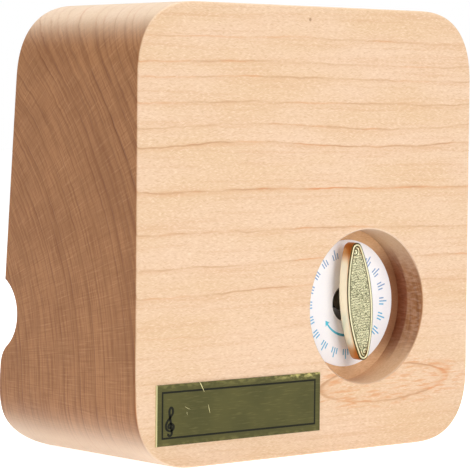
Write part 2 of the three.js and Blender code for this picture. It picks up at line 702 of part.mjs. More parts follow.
// The bracket between the spring and the cylinder
function makeBracket() {
  const half = bracket.width / 2;
  const top = axisHeight + bracket.crown;
  const footTop = onPlate + bracket.footHeight;
  const footEnd = bracketEnd + bracket.footLength;
  const wall = block([bracketStart, -half, onPlate], [bracketEnd, half, top]);
  const foot = block([bracketEnd - gap.screw, -half, onPlate], [footEnd, half, footTop]);
  const across = [bracketStart - gap.overrun, bracketEnd + gap.overrun];
  const bore = alongX(rod(cylinderArbor.radius + gap.running, ...across, counts.shaftSides));
  const holes = bores(smallScrew.radius + gap.screw, 0, footTop + gap.overrun, [bracketScrewPlace]);
  return geometryOf(cut(joined([wall, foot]), [bore.translate(0, 0, axisHeight), ...holes]));
}

// The comb: long bass teeth at the spring's end, short treble teeth at the governor's
function makeComb() {
  const pitch = cylinder.length / comb.toothCount;
  const points = [[cylinderEnd, combEnd], [cylinderStart, combEnd]];
  for (let i = 0; i < comb.toothCount; i += 1) {
    const left = cylinderStart + i * pitch;
    const length = THREE.MathUtils.lerp(comb.longTooth, comb.shortTooth, (i + 1) / comb.toothCount);
    const first = i === 0 ? left : left + comb.slit / 2;
    const last = i === comb.toothCount - 1 ? left + pitch : left + pitch - comb.slit / 2;
    points.push([first, combTip], [last, combTip]);
    if (i < comb.toothCount - 1) {
      points.push([last, combTip + length], [last + comb.slit, combTip + length]);
    }
  }
  const bore = combScrew.radius + gap.screw;
  const holes = combScrewPlaces.map(([x, y]) => circle(x, y, bore, counts.screwSides));
  return plate(points, combBottom, combTop, holes);
}

// One bent and milled piece: base, a post and a wall for the arbors, and an arm over the worm
function makeGovernorFrame() {
  const { wall, ear, base } = governorFrame;
  const post = [governorY - ear, governorY + ear];
  const far = bracket.crown + cylinderArbor.radius;
  const armEnd = wormY - bearingCap.width / 2;
  const pieces = [
    block([frameStart, bed.bottom + bedPlate.margin / 2, onPlate], [frameWallEnd, far, frameBase]),
    block([frameStart, post[0], onPlate], [frameStart + wall, post[1], axisHeight + ear]),
    block([frameWallStart, post[0], onPlate], [frameWallEnd, far, axisHeight + bracket.crown]),
    block([frameWallStart, post[0], onPlate], [frameWallEnd, post[1], armTop]),
    block([wormX - bearingCap.width / 2, armEnd, armBottom], [frameWallEnd, post[1], armTop]),
  ];
  const across = [frameStart - gap.overrun, frameWallEnd + gap.overrun];
  const governorBore = alongX(rod(governorArbor.radius + gap.running, ...across, counts.shaftSides));
  const cylinderBore = alongX(rod(cylinderArbor.radius + gap.running, ...across, counts.shaftSides));
  const above = frameBase + gap.overrun;
  const throughArm = [armBottom - gap.overrun, armTop + gap.overrun];
  const holes = [
    governorBore.translate(0, governorY, axisHeight),
    cylinderBore.translate(0, 0, axisHeight),
    ...bores(wormShaft.radius + gap.running, 0, above, [[wormX, wormY]]),
    ...bores(wormShaft.radius + gap.running, ...throughArm, [[wormX, wormY]]),
    ...bores(capScrew.radius + gap.running, ...throughArm, [capScrewPlace]),
    ...bores(smallScrew.radius + gap.screw, 0, above, frameScrewPlaces),
  ];
  return geometryOf(cut(joined(pieces), holes));
}

function makeBearingCap() {
  const half = bearingCap.width / 2;
  const [left, right] = [wormX - half, wormX + half];
  const bottom = wormY - half;
  const top = bottom + bearingCap.length;
  const outline = roundedRectangle(left, bottom, right, top, half / 2, counts.filletSteps);
  const hole = circle(...capScrewPlace, capScrew.radius + gap.screw, counts.screwSides);
  return plate(outline, armTop, armTop + bearingCap.thickness, [hole]);
}

function makeGovernorArbor() {
  const { module, pinionTeeth } = governorGears;
  const outline = gearOutline(pinionTeeth, module, Math.PI / pinionTeeth, pinionShares);
  const teeth = plate(outline, cylinderEnd + gap.screw, gearEnd - gap.screw);
  const shaft = rod(governorArbor.radius, frameStart, frameWallEnd, counts.shaftSides);
  return alongX(geometryOf(joined([teeth, shaft])));
}

function makeWormWheel() {
  const outline = gearOutline(wormGears.wheelTeeth, wormGears.module, Math.PI, pinionShares);
  const bore = circle(0, 0, governorArbor.radius + gap.running, counts.shaftSides);
  return alongX(plate(outline, wormWheelStart, wormWheelEnd, [bore]));
}

// A right-handed thread round a core, with a gap facing the wheel at the wheel's axis
function makeWorm() {
  const { module, wormRadius, turnCount } = wormGears;
  const inner = wormRadius - toothShares.dedendum * module;
  const outer = wormRadius + toothShares.addendum * module;
  const rootHalf = (threadShares.root * wormLead) / 2;
  const tipHalf = (threadShares.tip * wormLead) / 2;
  const sunk = inner - gap.screw;
  const section = [[sunk, -rootHalf], [outer, -tipHalf], [outer, tipHalf], [sunk, rootHalf]];
  const steps = turnCount * counts.threadSteps;
  const positions = [];
  for (let i = 0; i <= steps; i += 1) {
    const angle = Math.PI / 2 + (2 * Math.PI * (i - steps / 2)) / counts.threadSteps;
    const height = wormLead / 2 + (wormLead * (i - steps / 2)) / counts.threadSteps;
    for (const [radius, offset] of section) {
      positions.push(radius * Math.cos(angle), radius * Math.sin(angle), height + offset);
    }
  }
  const faces = [0, 1, 2, 0, 2, 3];
  for (let i = 0; i < steps; i += 1) {
    for (let k = 0; k < 4; k += 1) {
      const [a, b] = [4 * i + k, 4 * i + ((k + 1) % 4)];
      faces.push(a, a + 4, b, b, a + 4, b + 4);
    }
  }
  const last = 4 * steps;
  faces.push(last, last + 2, last + 1, last, last + 3, last + 2);
  const thread = new THREE.BufferGeometry();
  thread.setAttribute('position', new THREE.Float32BufferAttribute(positions, 3));
  thread.setIndex(faces);
  const coreHalf = wormHalf + wormLead;
  const shaftBottom = onPlate + wormShaft.end - axisHeight;
  const shaftTop = armTop - wormShaft.end - axisHeight;
  const core = turned([
    [0, shaftBottom],
    [wormShaft.radius, shaftBottom],
    [wormShaft.radius, -coreHalf],
    [inner, -coreHalf],
    [inner, coreHalf],
    [wormShaft.radius, coreHalf],
    [wormShaft.radius, shaftTop],
    [0, shaftTop],
  ], counts.shaftSides);
  return geometryOf(solidOf(core).add(solidOf(thread)));
}

// Two blades on a hub that brake the train in the air
function makeFly() {
  const half = fly.thickness / 2;
  const blades = block([-fly.radius, -half, 0], [fly.radius, half, fly.height]);
  const hub = rod(fly.hubRadius, 0, fly.height, counts.screwSides);
  const bore = bores(wormShaft.radius + gap.running, -gap.overrun, fly.height + gap.overrun, [[0, 0]]);
  return geometryOf(cut(joined([blades, hub]), bore));
}

// Assembly
const musicBox = new THREE.Group();
const movement = new THREE.Group();
movement.position.set(keyAxis.x, innerFace, keyAxis.height);
movement.rotation.x = Math.PI / 2;
musicBox.add(movement);

function place(group, name, geometry, material, x = 0, y = 0, z = 0) {
  const mesh = new THREE.Mesh(geometry, material);
  mesh.name = name;
  mesh.position.set(x, y, z);
  group.add(mesh);
  return mesh;
}

place(musicBox, 'case_block', makeCaseBlock(), maple);
place(musicBox, 'bottom_cover', makeCover(), plywood);
coverScrewPlaces.forEach(([x, y], i) => {
  const form = screw(coverScrew, coverScrew.length, true);
  const mesh = place(musicBox, `cover_screw_${i + 1}`, form, steel, x, y, cover.inset + coverScrew.drop);
  mesh.rotation.x = Math.PI;
});
const ring = tube(label.holeRadius, label.radius, 0, label.thickness, counts.discSides).rotateX(-Math.PI / 2);
place(musicBox, 'winding_label', ring, paper, label.x, backFace - recess.depth, label.height);
const { width, height, thickness, sideMargin, baseMargin } = titlePlate;
const sheet = block([0, 0, 0], [width, thickness, height]);
const sheetX = caseBlock.width / 2 - sideMargin - width;
place(musicBox, 'title_plate', sheet, oliveBrass, sheetX, backFace, baseMargin);

place(movement, 'bed_plate', makeBedPlate(), castZinc);
movementScrewPlaces.forEach(([x, y], i) => {
  const length = recess.floor + bedPlate.thickness - movementScrew.drop - gap.running;
  const form = screw(movementScrew, length, true);
  const top = movementScrew.drop - recess.floor;
  place(movement, `movement_screw_${i + 1}`, form, steel, x, y, top).rotation.x = Math.PI;
});
place(movement, 'spring_housing', makeHousing(), castZinc);
lugPlaces.forEach(([x, y], i) => {
  const top = onPlate + housing.wall + housingRivet.headHeight;
  const form = rivet(housingRivet, housingRivet.radius, top - gap.running);
  place(movement, `housing_rivet_${i + 1}`, form, steel, x, y, top);
});
place(movement, 'mainspring', makeMainspring(), springSteel);
place(movement, 'winding_key', makeKey(), keyBrass).rotation.z = -radians(key.tiltAngle);
place(movement, 'winding_arbor', makeArbor(), steel);
place(movement, 'drive_wheel', makeDriveWheel(), brass);
place(movement, 'ratchet_wheel', makeRatchet(), steel);
place(movement, 'click', makeClick(), steel);
place(movement, 'click_spring', makeClickSpring(), springSteel);
for (const [name, boreRadius, radius, angle] of [
  ['click_rivet', click.boreRadius, click.pivotRadius, click.pivotAngle],
  ['click_spring_rivet', clickSpring.boreRadius, clickSpringRadius, clickSpring.endAngle],
]) {
  const top = ratchetTop + clickRivet.headHeight;
  const form = rivet(clickRivet, boreRadius - gap.running, top - wheelBottom);
  place(movement, name, form, steel, ...onCircle(radius, angle), top);
}
place(movement, 'arbor_retaining_ring', makeRetainer(), springSteel);

place(movement, 'cylinder', makeCylinder(), brass, cylinderStart, 0, axisHeight);
place(movement, 'cylinder_cap', makeCylinderCap(), brass, cylinderStart, 0, axisHeight);
place(movement, 'cylinder_gear', makeCylinderGear(), nylon, cylinderEnd - cylinder.plug, 0, axisHeight);
place(movement, 'cylinder_arbor', makeCylinderArbor(), steel, 0, 0, axisHeight);
place(movement, 'cylinder_bracket', makeBracket(), castZinc);
const bracketScrewTop = onPlate + bracket.footHeight + smallScrew.headHeight;
const bracketScrew = screw(smallScrew, smallScrew.length, false);
place(movement, 'bracket_screw', bracketScrew, steel, ...bracketScrewPlace, bracketScrewTop);
place(movement, 'comb', makeComb(), steel);
combScrewPlaces.forEach(([x, y], i) => {
  const form = screw(combScrew, combScrew.length, false);
  place(movement, `comb_screw_${i + 1}`, form, brass, x, y, combTop + combScrew.headHeight);
});

place(movement, 'governor_frame', makeGovernorFrame(), castZinc);
frameScrewPlaces.forEach(([x, y], i) => {
  const form = screw(smallScrew, smallScrew.length, false);
  place(movement, `governor_screw_${i + 1}`, form, steel, x, y, frameBase + smallScrew.headHeight);
});
place(movement, 'governor_arbor', makeGovernorArbor(), steel, 0, governorY, axisHeight);
place(movement, 'worm_wheel', makeWormWheel(), nylon, 0, governorY, axisHeight);
place(movement, 'worm', makeWorm(), steel, wormX, wormY, axisHeight);
place(movement, 'fly', makeFly(), nylon, wormX, wormY, frameBase + fly.lift);
place(movement, 'bearing_cap', makeBearingCap(), brass);
const capScrewForm = screw(capScrew, capScrew.length, false);
place(movement, 'bearing_cap_screw', capScrewForm, steel, ...capScrewPlace, capTop);

export default musicBox;
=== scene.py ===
# %% [markdown]
# # A wooden music box
# The real object is one block of hard maple with round corners. A round recess in its back holds a
# cast brass winding key over a printed paper ring, and a thin olive brass plate is fixed below.
# The movement sits in a room inside the block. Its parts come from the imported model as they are,
# and this lesson gives them their finishes. The parts that the eye rests on are made again here,
# as fine surfaces worked out with numpy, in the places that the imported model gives.

# %% Frame and units
import json
import math
from contextlib import contextmanager

import bmesh
import bpy
import numpy as np
from mathutils import Matrix, Vector


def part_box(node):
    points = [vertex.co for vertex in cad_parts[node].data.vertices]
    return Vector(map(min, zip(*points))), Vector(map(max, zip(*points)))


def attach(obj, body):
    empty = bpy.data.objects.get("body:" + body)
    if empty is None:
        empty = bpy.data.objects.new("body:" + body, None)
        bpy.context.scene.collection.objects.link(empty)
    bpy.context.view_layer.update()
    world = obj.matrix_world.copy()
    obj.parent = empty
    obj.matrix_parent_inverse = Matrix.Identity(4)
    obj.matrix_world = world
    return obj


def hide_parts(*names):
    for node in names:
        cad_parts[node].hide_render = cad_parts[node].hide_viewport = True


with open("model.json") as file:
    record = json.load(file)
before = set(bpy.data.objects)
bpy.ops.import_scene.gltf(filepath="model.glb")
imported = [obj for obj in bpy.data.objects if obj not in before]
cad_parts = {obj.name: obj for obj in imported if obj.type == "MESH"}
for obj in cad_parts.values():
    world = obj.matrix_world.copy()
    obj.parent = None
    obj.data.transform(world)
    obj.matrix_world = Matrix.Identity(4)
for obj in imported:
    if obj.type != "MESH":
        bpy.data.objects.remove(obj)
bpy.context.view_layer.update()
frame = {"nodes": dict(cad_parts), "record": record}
MM = 0.001
nodes = frame["nodes"]
print("nodes:", len(nodes))


def millimetres(corners):
    """The two corners of a box in metres, as arrays in millimetres."""
    return (np.array(corner) / MM for corner in corners)


def placed(name, data):
    """A new object in the scene that shows a mesh, a lamp or a camera."""
    thing = bpy.data.objects.new(name, data)
    bpy.context.scene.collection.objects.link(thing)
    return thing


# %% [markdown]
# ## The camera
# The view was fitted to the block's outline, which gives the lens, the place and the turn of the
# camera at once. A long lens stands for a picture taken from more than half a metre away. The
# camera is set by its three directions, because a slight roll is hard to give as angles.

# %% Camera
camera_place = Vector((0.380065, 0.438541, 0.077453))
camera_forward = Vector((-0.65289, -0.75576, -0.05053))
camera_up = Vector((-0.02627, -0.04408, 0.99868))
camera_right = camera_forward.cross(camera_up)

camera = placed("camera", bpy.data.cameras.new("camera"))
camera.data.sensor_width = 36.0
camera.data.lens = 193.34
camera.matrix_world = Matrix.Translation(camera_place) @ Matrix(
    (camera_right, camera_up, -camera_forward)
).transposed().to_4x4()
bpy.context.scene.camera = camera
print("camera looks along", [round(part, 3) for part in camera_forward])

# %% [markdown]
# ## From a grid of points to a mesh
# Each surface is a grid: an array of points with one row for each step of one parameter and one
# column for each step of the other. Neighbouring points make four-sided faces. Grids that share an
# edge are welded by rounding their points, and a row that shrinks to one point, a pole, turns its
# faces into triangles. So every piece is closed, and one function makes them all.

# %% Grids
def grid_faces(rows, columns, wrap_rows, wrap_columns):
    """The faces of a grid: each joins point (i, j) with its neighbours at i + 1 and j + 1."""
    i = np.arange(rows if wrap_rows else rows - 1)
    j = np.arange(columns if wrap_columns else columns - 1)
    i, j = np.meshgrid(i, j, indexing="ij")
    down, right = (i + 1) % rows, (j + 1) % columns
    corners = (i * columns + j, down * columns + j, down * columns + right, i * columns + right)
    return np.stack(corners, -1).reshape(-1, 4)


def drop_repeats(faces):
    """Quads as lists, with those that repeat a corner made triangles or left out."""
    following = np.roll(faces, -1, axis=1)
    keep = faces != following
    return [tuple(face[mask]) for face, mask in zip(faces, keep) if mask.sum() > 2]


def mesh_from_grids(name, grids, weld=1e-4, shades=None):
    """A mesh in metres from grids in millimetres, welded where points lie within the weld.

    Shades, one array for each grid, give each point a number that a finish can read.
    """
    points, faces, count = [], [], 0
    for grid, wrap_rows, wrap_columns in grids:
        rows, columns = grid.shape[:2]
        faces.append(grid_faces(rows, columns, wrap_rows, wrap_columns) + count)
        points.append(grid.reshape(-1, 3))
        count += rows * columns
    points, faces = np.concatenate(points), np.concatenate(faces)
    places = np.round(points / weld).astype(np.int64)
    _, first, index = np.unique(places, axis=0, return_index=True, return_inverse=True)
    faces = drop_repeats(index.reshape(-1)[faces])
    mesh = bpy.data.meshes.new(name)
    mesh.from_pydata(points[first] * MM, [], faces)
    if shades is not None:
        shade = mesh.attributes.new("shade", "FLOAT", "POINT")
        values = np.concatenate([array.reshape(-1) for array in shades])[first]
        shade.data.foreach_set("value", values.astype(np.float32))
    mesh.validate()
    return mesh


# %% Closed pieces
usual_smooth_angle = 30.0


def piece_from_grids(name, grids, smooth_angle=usual_smooth_angle, shades=None):
    """A closed object from grids, its faces turned outwards, smooth up to an angle in degrees."""
    mesh = mesh_from_grids(name, grids, shades=shades)
    face_outwards(mesh)
    smooth_below(mesh, smooth_angle)
    return placed(name, mesh)


@contextmanager
def editing(mesh):
    """Opens a mesh for work on its points and faces, and writes them back."""
    work = bmesh.new()
    work.from_mesh(mesh)
    yield work
    work.to_mesh(mesh)
    work.free()


def face_outwards(mesh):
    """Turns all faces of a closed mesh outwards."""
    with editing(mesh) as work:
        bmesh.ops.recalc_face_normals(work, faces=work.faces)


def smooth_below(mesh, angle=usual_smooth_angle):
    """Shades smooth across edges that turn less than an angle in degrees."""
    mesh.shade_smooth()
    mesh.set_sharp_from_angle(angle=math.radians(angle))


# %% [markdown]
# ## The block's outline and side
# Seen from the back, the block is a square whose corners are fuller than circles: quarters of a
# superellipse. Seen from the side, its front leans back by five degrees, with a round foot and a
# hollow groove above a soft lip. The block is where the two shapes meet, so a point of its skin
# needs only a height: the outline gives how wide the block is there, and the side how deep.

# %% Block outline
block_low, block_high = millimetres(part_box("case_block"))
block_width = block_high[0] - block_low[0]
block_height = block_high[2] - block_low[2]
back_face = block_high[1]
corner_radius = 17.25
corner_exponent = 2.54
edge_easing = 0.5
edge_steps = 5


def half_width(z):
    """Half the width at height z: straight, then a superellipse quarter at top and bottom."""
    beyond = np.abs(z - block_height / 2) - (block_height / 2 - corner_radius)
    reach = np.clip(beyond / corner_radius, 0, 1)
    drawn_in = 1 - (1 - reach**corner_exponent) ** (1 / corner_exponent)
    return block_width / 2 - corner_radius * drawn_in


def arc(centre, radius, start, end, steps):
    """Points along a circle's arc, from one angle to another, in radians."""
    angle = np.linspace(start, end, steps + 1)
    return np.stack([centre[0] + radius * np.cos(angle), centre[1] + radius * np.sin(angle)], -1)


print("block:", round(block_width, 2), "by", round(block_height, 2), "mm")

# %% Block side
foot_radius = 8.0
foot_depth = 42.0
front_lean = math.radians(5)
cove_radius = 8.8
cove_depth = 5.2
cove_height = 30.9
lip_radius = 6.0
foot_steps, lip_steps, cove_steps = 30, 24, 36


def side_profile():
    """The front's (depth, height) points: foot arc, lip arc, cove arc, then a plane to the top."""
    across = np.array([math.cos(front_lean), math.sin(front_lean)])
    along = np.array([-math.sin(front_lean), math.cos(front_lean)])
    plane = foot_depth * across[0] + foot_radius * across[1] + foot_radius
    cove_out = cove_radius - cove_depth
    cove_along = (cove_height - (plane + cove_out) * across[1]) / along[1]
    cove = (plane + cove_out) * across + cove_along * along
    lip_reach = math.sqrt((cove_radius + lip_radius) ** 2 - (cove_out + lip_radius) ** 2)
    lip = (plane - lip_radius) * across + (cove_along - lip_reach) * along
    upper_reach = math.sqrt(cove_radius**2 - cove_out**2)
    upper = plane * across + (cove_along + upper_reach) * along
    lip_end = math.atan2(*(cove - lip)[::-1])
    cove_end = math.atan2(*(upper - cove)[::-1])
    top = plane * across + (block_height - plane * across[1]) / along[1] * along
    return np.concatenate([
        arc((foot_depth, foot_radius), foot_radius, -math.pi / 2, front_lean, foot_steps),
        arc(lip, lip_radius, front_lean, lip_end, lip_steps),
        arc(cove, cove_radius, lip_end - math.pi, cove_end - 2 * math.pi, cove_steps)[1:],
        top[None],
    ])


front_profile = side_profile()


def front_depth(z):
    """How deep the block is at height z, from its back face."""
    return np.interp(z, front_profile[:, 1], front_profile[:, 0])


print("deepest front point:", round(front_profile[:, 0].max(), 2), "mm")

# %% [markdown]
# ## The block's skin
# The skin is three grids. The band runs round the outline from the back face to the front, and its
# first and last rings turn a small quarter circle, which rounds the edges as sandpaper does. The
# back and the front are ruled from left to right, because both are straight across. A fine grid
# in numpy keeps the round corners smooth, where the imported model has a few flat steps.

# %% Block skin
corner_rows, straight_rows = 41, 24


def block_rows():
    """The heights at which the skin has points: dense on the corners and along the front's arcs."""
    turn = np.linspace(0, math.pi / 2, corner_rows)
    corner = corner_radius * (1 - np.cos(turn) ** (2 / corner_exponent))
    straight = np.linspace(corner_radius, block_height - corner_radius, straight_rows)
    rows = np.concatenate([front_profile[:, 1], corner, block_height - corner, straight])
    return np.unique(np.round(np.clip(rows, 0, block_height), 2))


def block_rings():
    """Rings of the right half, from the back face over two rounded edges to the front.

    At an angle of the rounding a point is drawn in by easing times one less the sine, and lies
    behind the face by easing times one less the cosine.
    """
    z = block_rows()
    x = half_width(z)
    tangent = np.stack([np.gradient(x), np.gradient(z)], -1)
    tangent /= np.linalg.norm(tangent, axis=1, keepdims=True)
    turn = np.linspace(0, math.pi / 2, edge_steps)
    drawn_in = edge_easing * (1 - np.sin(turn))[:, None]
    behind = edge_easing * (1 - np.cos(turn))[:, None]
    eased_x = x - drawn_in * tangent[:, 1]
    eased_z = z + drawn_in * tangent[:, 0]
    back = np.stack([eased_x, back_face - behind + 0 * x, eased_z], -1)
    front = np.stack([eased_x, back_face - front_depth(eased_z) + behind, eased_z], -1)
    return np.concatenate([back, front[::-1]])


def block_skin():
    """The grids of the whole skin: the band round the outline, the back and the front."""
    right = block_rings()
    left = right[:, ::-1] * [-1, 1, 1]
    band = np.concatenate([right, left], axis=1)
    back = np.stack([right[0], left[0][::-1]])
    front = np.stack([right[-1], left[-1][::-1]])
    return [(band, False, True), (back, False, False), (front, False, False)]


block = piece_from_grids("maple_block", block_skin())
print("skin faces:", len(block.data.polygons))

# %% [markdown]
# ## Cutting the recess and the room
# The recess was bored with a wide flat-bottomed bit, so it is a turned shape: a profile of radius
# and height carried round an axis. The room for the movement and the seat of the bottom cover are
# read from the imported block: a box less that block leaves just its hollows, and these are cut out
# of the fine skin. Cutting by Boolean keeps one closed solid, as the real block is.

# %% Turned shapes
def turned(profile, centre, steps):
    """A profile of (radius, Y) points carried round an axis along Y through (X, Z)."""
    angle = np.linspace(0, 2 * math.pi, steps, endpoint=False)
    radius, y = np.array(profile, float).T
    x = centre[0] + radius[:, None] * np.cos(angle)
    z = centre[1] + radius[:, None] * np.sin(angle)
    return np.stack([x, np.broadcast_to(y[:, None], x.shape), z], -1)


# %% Cutters and cuts
def box_piece(name, low, high):
    """A plain box between two corners, used only as a cutter."""
    mesh = bpy.data.meshes.new(name)
    share = np.array([(a, b, c) for a in (0, 1) for b in (0, 1) for c in (0, 1)])
    corners = np.array(low) + share * (np.array(high) - np.array(low))
    faces = [(0, 1, 3, 2), (4, 6, 7, 5), (0, 4, 5, 1), (2, 3, 7, 6), (0, 2, 6, 4), (1, 5, 7, 3)]
    mesh.from_pydata(corners * MM, [], faces)
    face_outwards(mesh)
    return placed(name, mesh)


def combine(piece, other, operation):
    """Cuts or joins another closed piece, which is used up."""
    modifier = piece.modifiers.new("combine", "BOOLEAN")
    modifier.object = other
    modifier.operation = operation
    modifier.solver = "MANIFOLD"
    graph = bpy.context.evaluated_depsgraph_get()
    mesh = bpy.data.meshes.new_from_object(piece.evaluated_get(graph))
    piece.modifiers.clear()
    piece.data = mesh
    bpy.data.objects.remove(other)


def clear_back_face(mesh, depth=0.001):
    """Joins the back face's strips into one flat face, so that no edges run into the recess rim."""
    with editing(mesh) as work:
        flat = [vertex for vertex in work.verts if vertex.co.y > (back_face - depth) * MM]
        held = set(flat)
        edges = [edge for edge in work.edges if held.issuperset(edge.verts)]
        bmesh.ops.dissolve_limit(work, angle_limit=math.radians(0.05), verts=flat, edges=edges)


def merged_copy(node, name):
    """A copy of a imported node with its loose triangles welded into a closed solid."""
    mesh = nodes[node].data.copy()
    with editing(mesh) as work:
        bmesh.ops.remove_doubles(work, verts=work.verts, dist=1e-7)
    return placed(name, mesh)


# %% Recess and room
recess_centre = (-17.4, 32.5)
recess_radius = 17.5
recess_depth = 8.0
recess_floor = back_face - recess_depth
recess_steps = 144
recess_wall = recess_radius / math.cos(math.pi / recess_steps) + 0.004
rim_easing = 0.35
shaft_hole_radius = 4.9
wood_behind_floor = 4.0
inner_face = recess_floor - wood_behind_floor
overrun = 1.0

recess_profile = [
    (0, back_face + overrun),
    (recess_wall + rim_easing + overrun, back_face + overrun),
    (recess_wall + rim_easing, back_face),
    (recess_wall, back_face - rim_easing),
    (recess_wall, recess_floor),
    (shaft_hole_radius, recess_floor),
    (shaft_hole_radius, inner_face - overrun),
    (0, inner_face - overrun),
]
recess_surface = turned(recess_profile, recess_centre, recess_steps)
recess = piece_from_grids("recess_cutter", [(recess_surface, False, True)])

hollow_margin = 4.0
cover_low, cover_high = millimetres(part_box("bottom_cover"))
room_top = 65.0
hollows = box_piece(
    "hollows",
    (cover_low[0] - hollow_margin, cover_low[1] - hollow_margin, -overrun),
    (cover_high[0] + hollow_margin, recess_floor + overrun, room_top),
)
combine(hollows, merged_copy("case_block", "packed_block"), "DIFFERENCE")
combine(block, hollows, "DIFFERENCE")
combine(block, recess, "DIFFERENCE")
clear_back_face(block.data)
smooth_below(block.data)
weighting = block.modifiers.new("flat faces stay flat", "WEIGHTED_NORMAL")
weighting.keep_sharp = True
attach(block, "case")
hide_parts("case_block")
print("block faces after cutting:", len(block.data.polygons))

# %% [markdown]
# ## How a finish is written
# A finish is a small network of nodes on one Principled shader. Its colours are written as they
# are read from a picture, and its lengths in millimetres, so the numbers can be checked against the
# real thing. Patterns come from the place on the object, not from flat pictures, so a line of grain
# that leaves the back face goes on down the side, as it does in solid wood.

# %% Finish maker
def colour(red, green, blue):
    """A colour as read from a picture, 0 to 255, in the linear values that shaders use."""
    share = np.array([red, green, blue]) / 255
    linear = np.where(share <= 0.04045, share / 12.92, ((share + 0.055) / 1.055) ** 2.4)
    return (*linear.tolist(), 1.0)


class Finish:
    """A material in the making. Each method adds a node and gives back its output."""

    def __init__(self, name, roughness=0.5, metallic=0.0):
        self.material = bpy.data.materials.new(name)
        self.material.use_nodes = True
        self.tree = self.material.node_tree
        self.shader = self.tree.nodes["Principled BSDF"]
        self.shader.inputs["Roughness"].default_value = roughness
        self.shader.inputs["Metallic"].default_value = metallic
        self.coordinates = self.tree.nodes.new("ShaderNodeTexCoord").outputs
        self.place = self.vector("MULTIPLY", self.coordinates["Object"], (1 / MM,) * 3)

    def feed(self, socket, value):
        """Links an output to a socket, or sets the socket to a plain value."""
        if isinstance(value, bpy.types.NodeSocket):
            self.tree.links.new(value, socket)
        else:
            socket.default_value = value

    def node(self, kind, inputs, **settings):
        """Adds a node, sets its options and feeds its inputs."""
        node = self.tree.nodes.new("ShaderNode" + kind)
        for name, value in settings.items():
            setattr(node, name, value)
        for socket, value in inputs.items():
            self.feed(node.inputs[socket], value)
        return node

    def math(self, operation, *values):
        """Arithmetic on numbers."""
        return self.node("Math", dict(enumerate(values)), operation=operation).outputs[0]

    def times(self, first, second):
        """The product of two numbers, such as two shares that must both hold."""
        return self.math("MULTIPLY", first, second)

    def apart(self, first, second):
        """How far two numbers lie apart."""
        return self.math("ABSOLUTE", self.math("SUBTRACT", first, second))

    def vector(self, operation, *values):
        """Arithmetic on vectors, or a number taken from them."""
        node = self.node("VectorMath", dict(enumerate(values)), operation=operation)
        return node.outputs["Value" if operation in ("LENGTH", "DOT_PRODUCT") else "Vector"]

    def stretched(self, *factors):
        """The place with its axes scaled: a pattern on it is long where the factor is small."""
        return self.vector("MULTIPLY", self.place, factors)

    def raised(self, height):
        """The place moved along Z by a height."""
        shift = self.node("CombineXYZ", {"Z": height}).outputs[0]
        return self.vector("ADD", self.place, shift)

    def parts(self, vector):
        """The three parts of a vector."""
        return self.node("SeparateXYZ", {0: vector}).outputs

    def noise(self, place, size, detail=2.0, roughness=0.5):
        """Soft random values about one half, in patches about size millimetres across."""
        inputs = {"Vector": place, "Scale": 1 / size, "Detail": detail, "Roughness": roughness}
        return self.node("TexNoise", inputs).outputs[0]

    def ease(self, value, low, high, to_low=0.0, to_high=1.0):
        """Carries a value from one range to another with soft ends."""
        inputs = dict(enumerate((value, low, high, to_low, to_high)))
        return self.node("MapRange", inputs, interpolation_type="SMOOTHSTEP").outputs[0]

    def blend(self, share, first, second, kind="MIX"):
        """A colour between two, by share."""
        inputs = {0: share, 6: first, 7: second}
        return self.node("Mix", inputs, data_type="RGBA", blend_type=kind).outputs[2]

    def fade(self, value, low, high, first, second):
        """The first colour where a value is low, the second where it is high."""
        return self.blend(self.ease(value, low, high), first, second)

    def coats(self, tone, *coats, kind="MIX"):
        """A tone under coats of other colours, each laid on by its share."""
        for share, tint in coats:
            tone = self.blend(share, tone, tint, kind)
        return tone

    def stains(self, tone, *stains):
        """A tone darkened by stains, each by its share."""
        return self.coats(tone, *stains, kind="MULTIPLY")

    def bump(self, height, depth):
        """Raises the surface by height times a depth in millimetres."""
        node = self.node("Bump", {"Height": height, "Distance": depth * MM})
        self.feed(self.shader.inputs["Normal"], node.outputs[0])

    def done(self, base):
        """Sets the base colour and gives back the material."""
        self.feed(self.shader.inputs["Base Color"], base)
        return self.material


def dress(piece, material):
    """Gives a piece one material."""
    piece.data.materials.clear()
    piece.data.materials.append(material)


# %% [markdown]
# ## Maple
# Wood is a stack of sleeves about the pith, so its rings are a function of the distance from the
# pith. Here the pith runs along X, 77 mm in front of the block's middle and low down. On the back
# face the rings come out as long wavy lines, wide apart at the bottom, where one ring just touches
# the face and leaves an oval. On the side they are arcs. A picture laid on each face could show
# this too, but its lines would break at the edges. So the lines of the back are listed as
# distances to the pith, each with a strength, and the rings inside them follow at an even pace.

# %% Growth of the tree
pith_depth = 102.0
pith_y = back_face - pith_depth
pith_z = 15.0
wave_radius, wave_length, wave_height = 115.8, 80.0, 0.3
dome_x, dome_half_length, dome_height = -23.0, 50.0, 0.22


def growth(wood):
    """The vector from the pith to a place and the ring radius there, both with a tree's wander."""
    along = wood.stretched(0.35, 1, 1)
    wander = wood.ease(wood.noise(along, 24, detail=1), 0.25, 0.75, -0.6, 0.6)
    quiver = wood.ease(wood.noise(along, 2.4), 0.2, 0.8, -0.28, 0.28)
    moved = wood.raised(wood.math("ADD", wander, quiver))
    from_pith = wood.vector("MULTIPLY", wood.vector("SUBTRACT", moved, (0, pith_y, pith_z)), (0, 1, 1))
    radius = wood.vector("LENGTH", from_pith)
    x = wood.parts(wood.place)["X"]
    wave = wood.math("SINE", wood.times(x, 2 * math.pi / wave_length))
    sway = wood.times(wave, wood.ease(wood.apart(radius, wave_radius), 1, 5, -wave_height, 0))
    around_dome = wood.math("ABSOLUTE", wood.math("ADD", x, -dome_x))
    dome = wood.ease(around_dome, 0, dome_half_length, -dome_height, 0)
    return from_pith, wood.math("ADD", radius, wood.math("ADD", sway, dome))


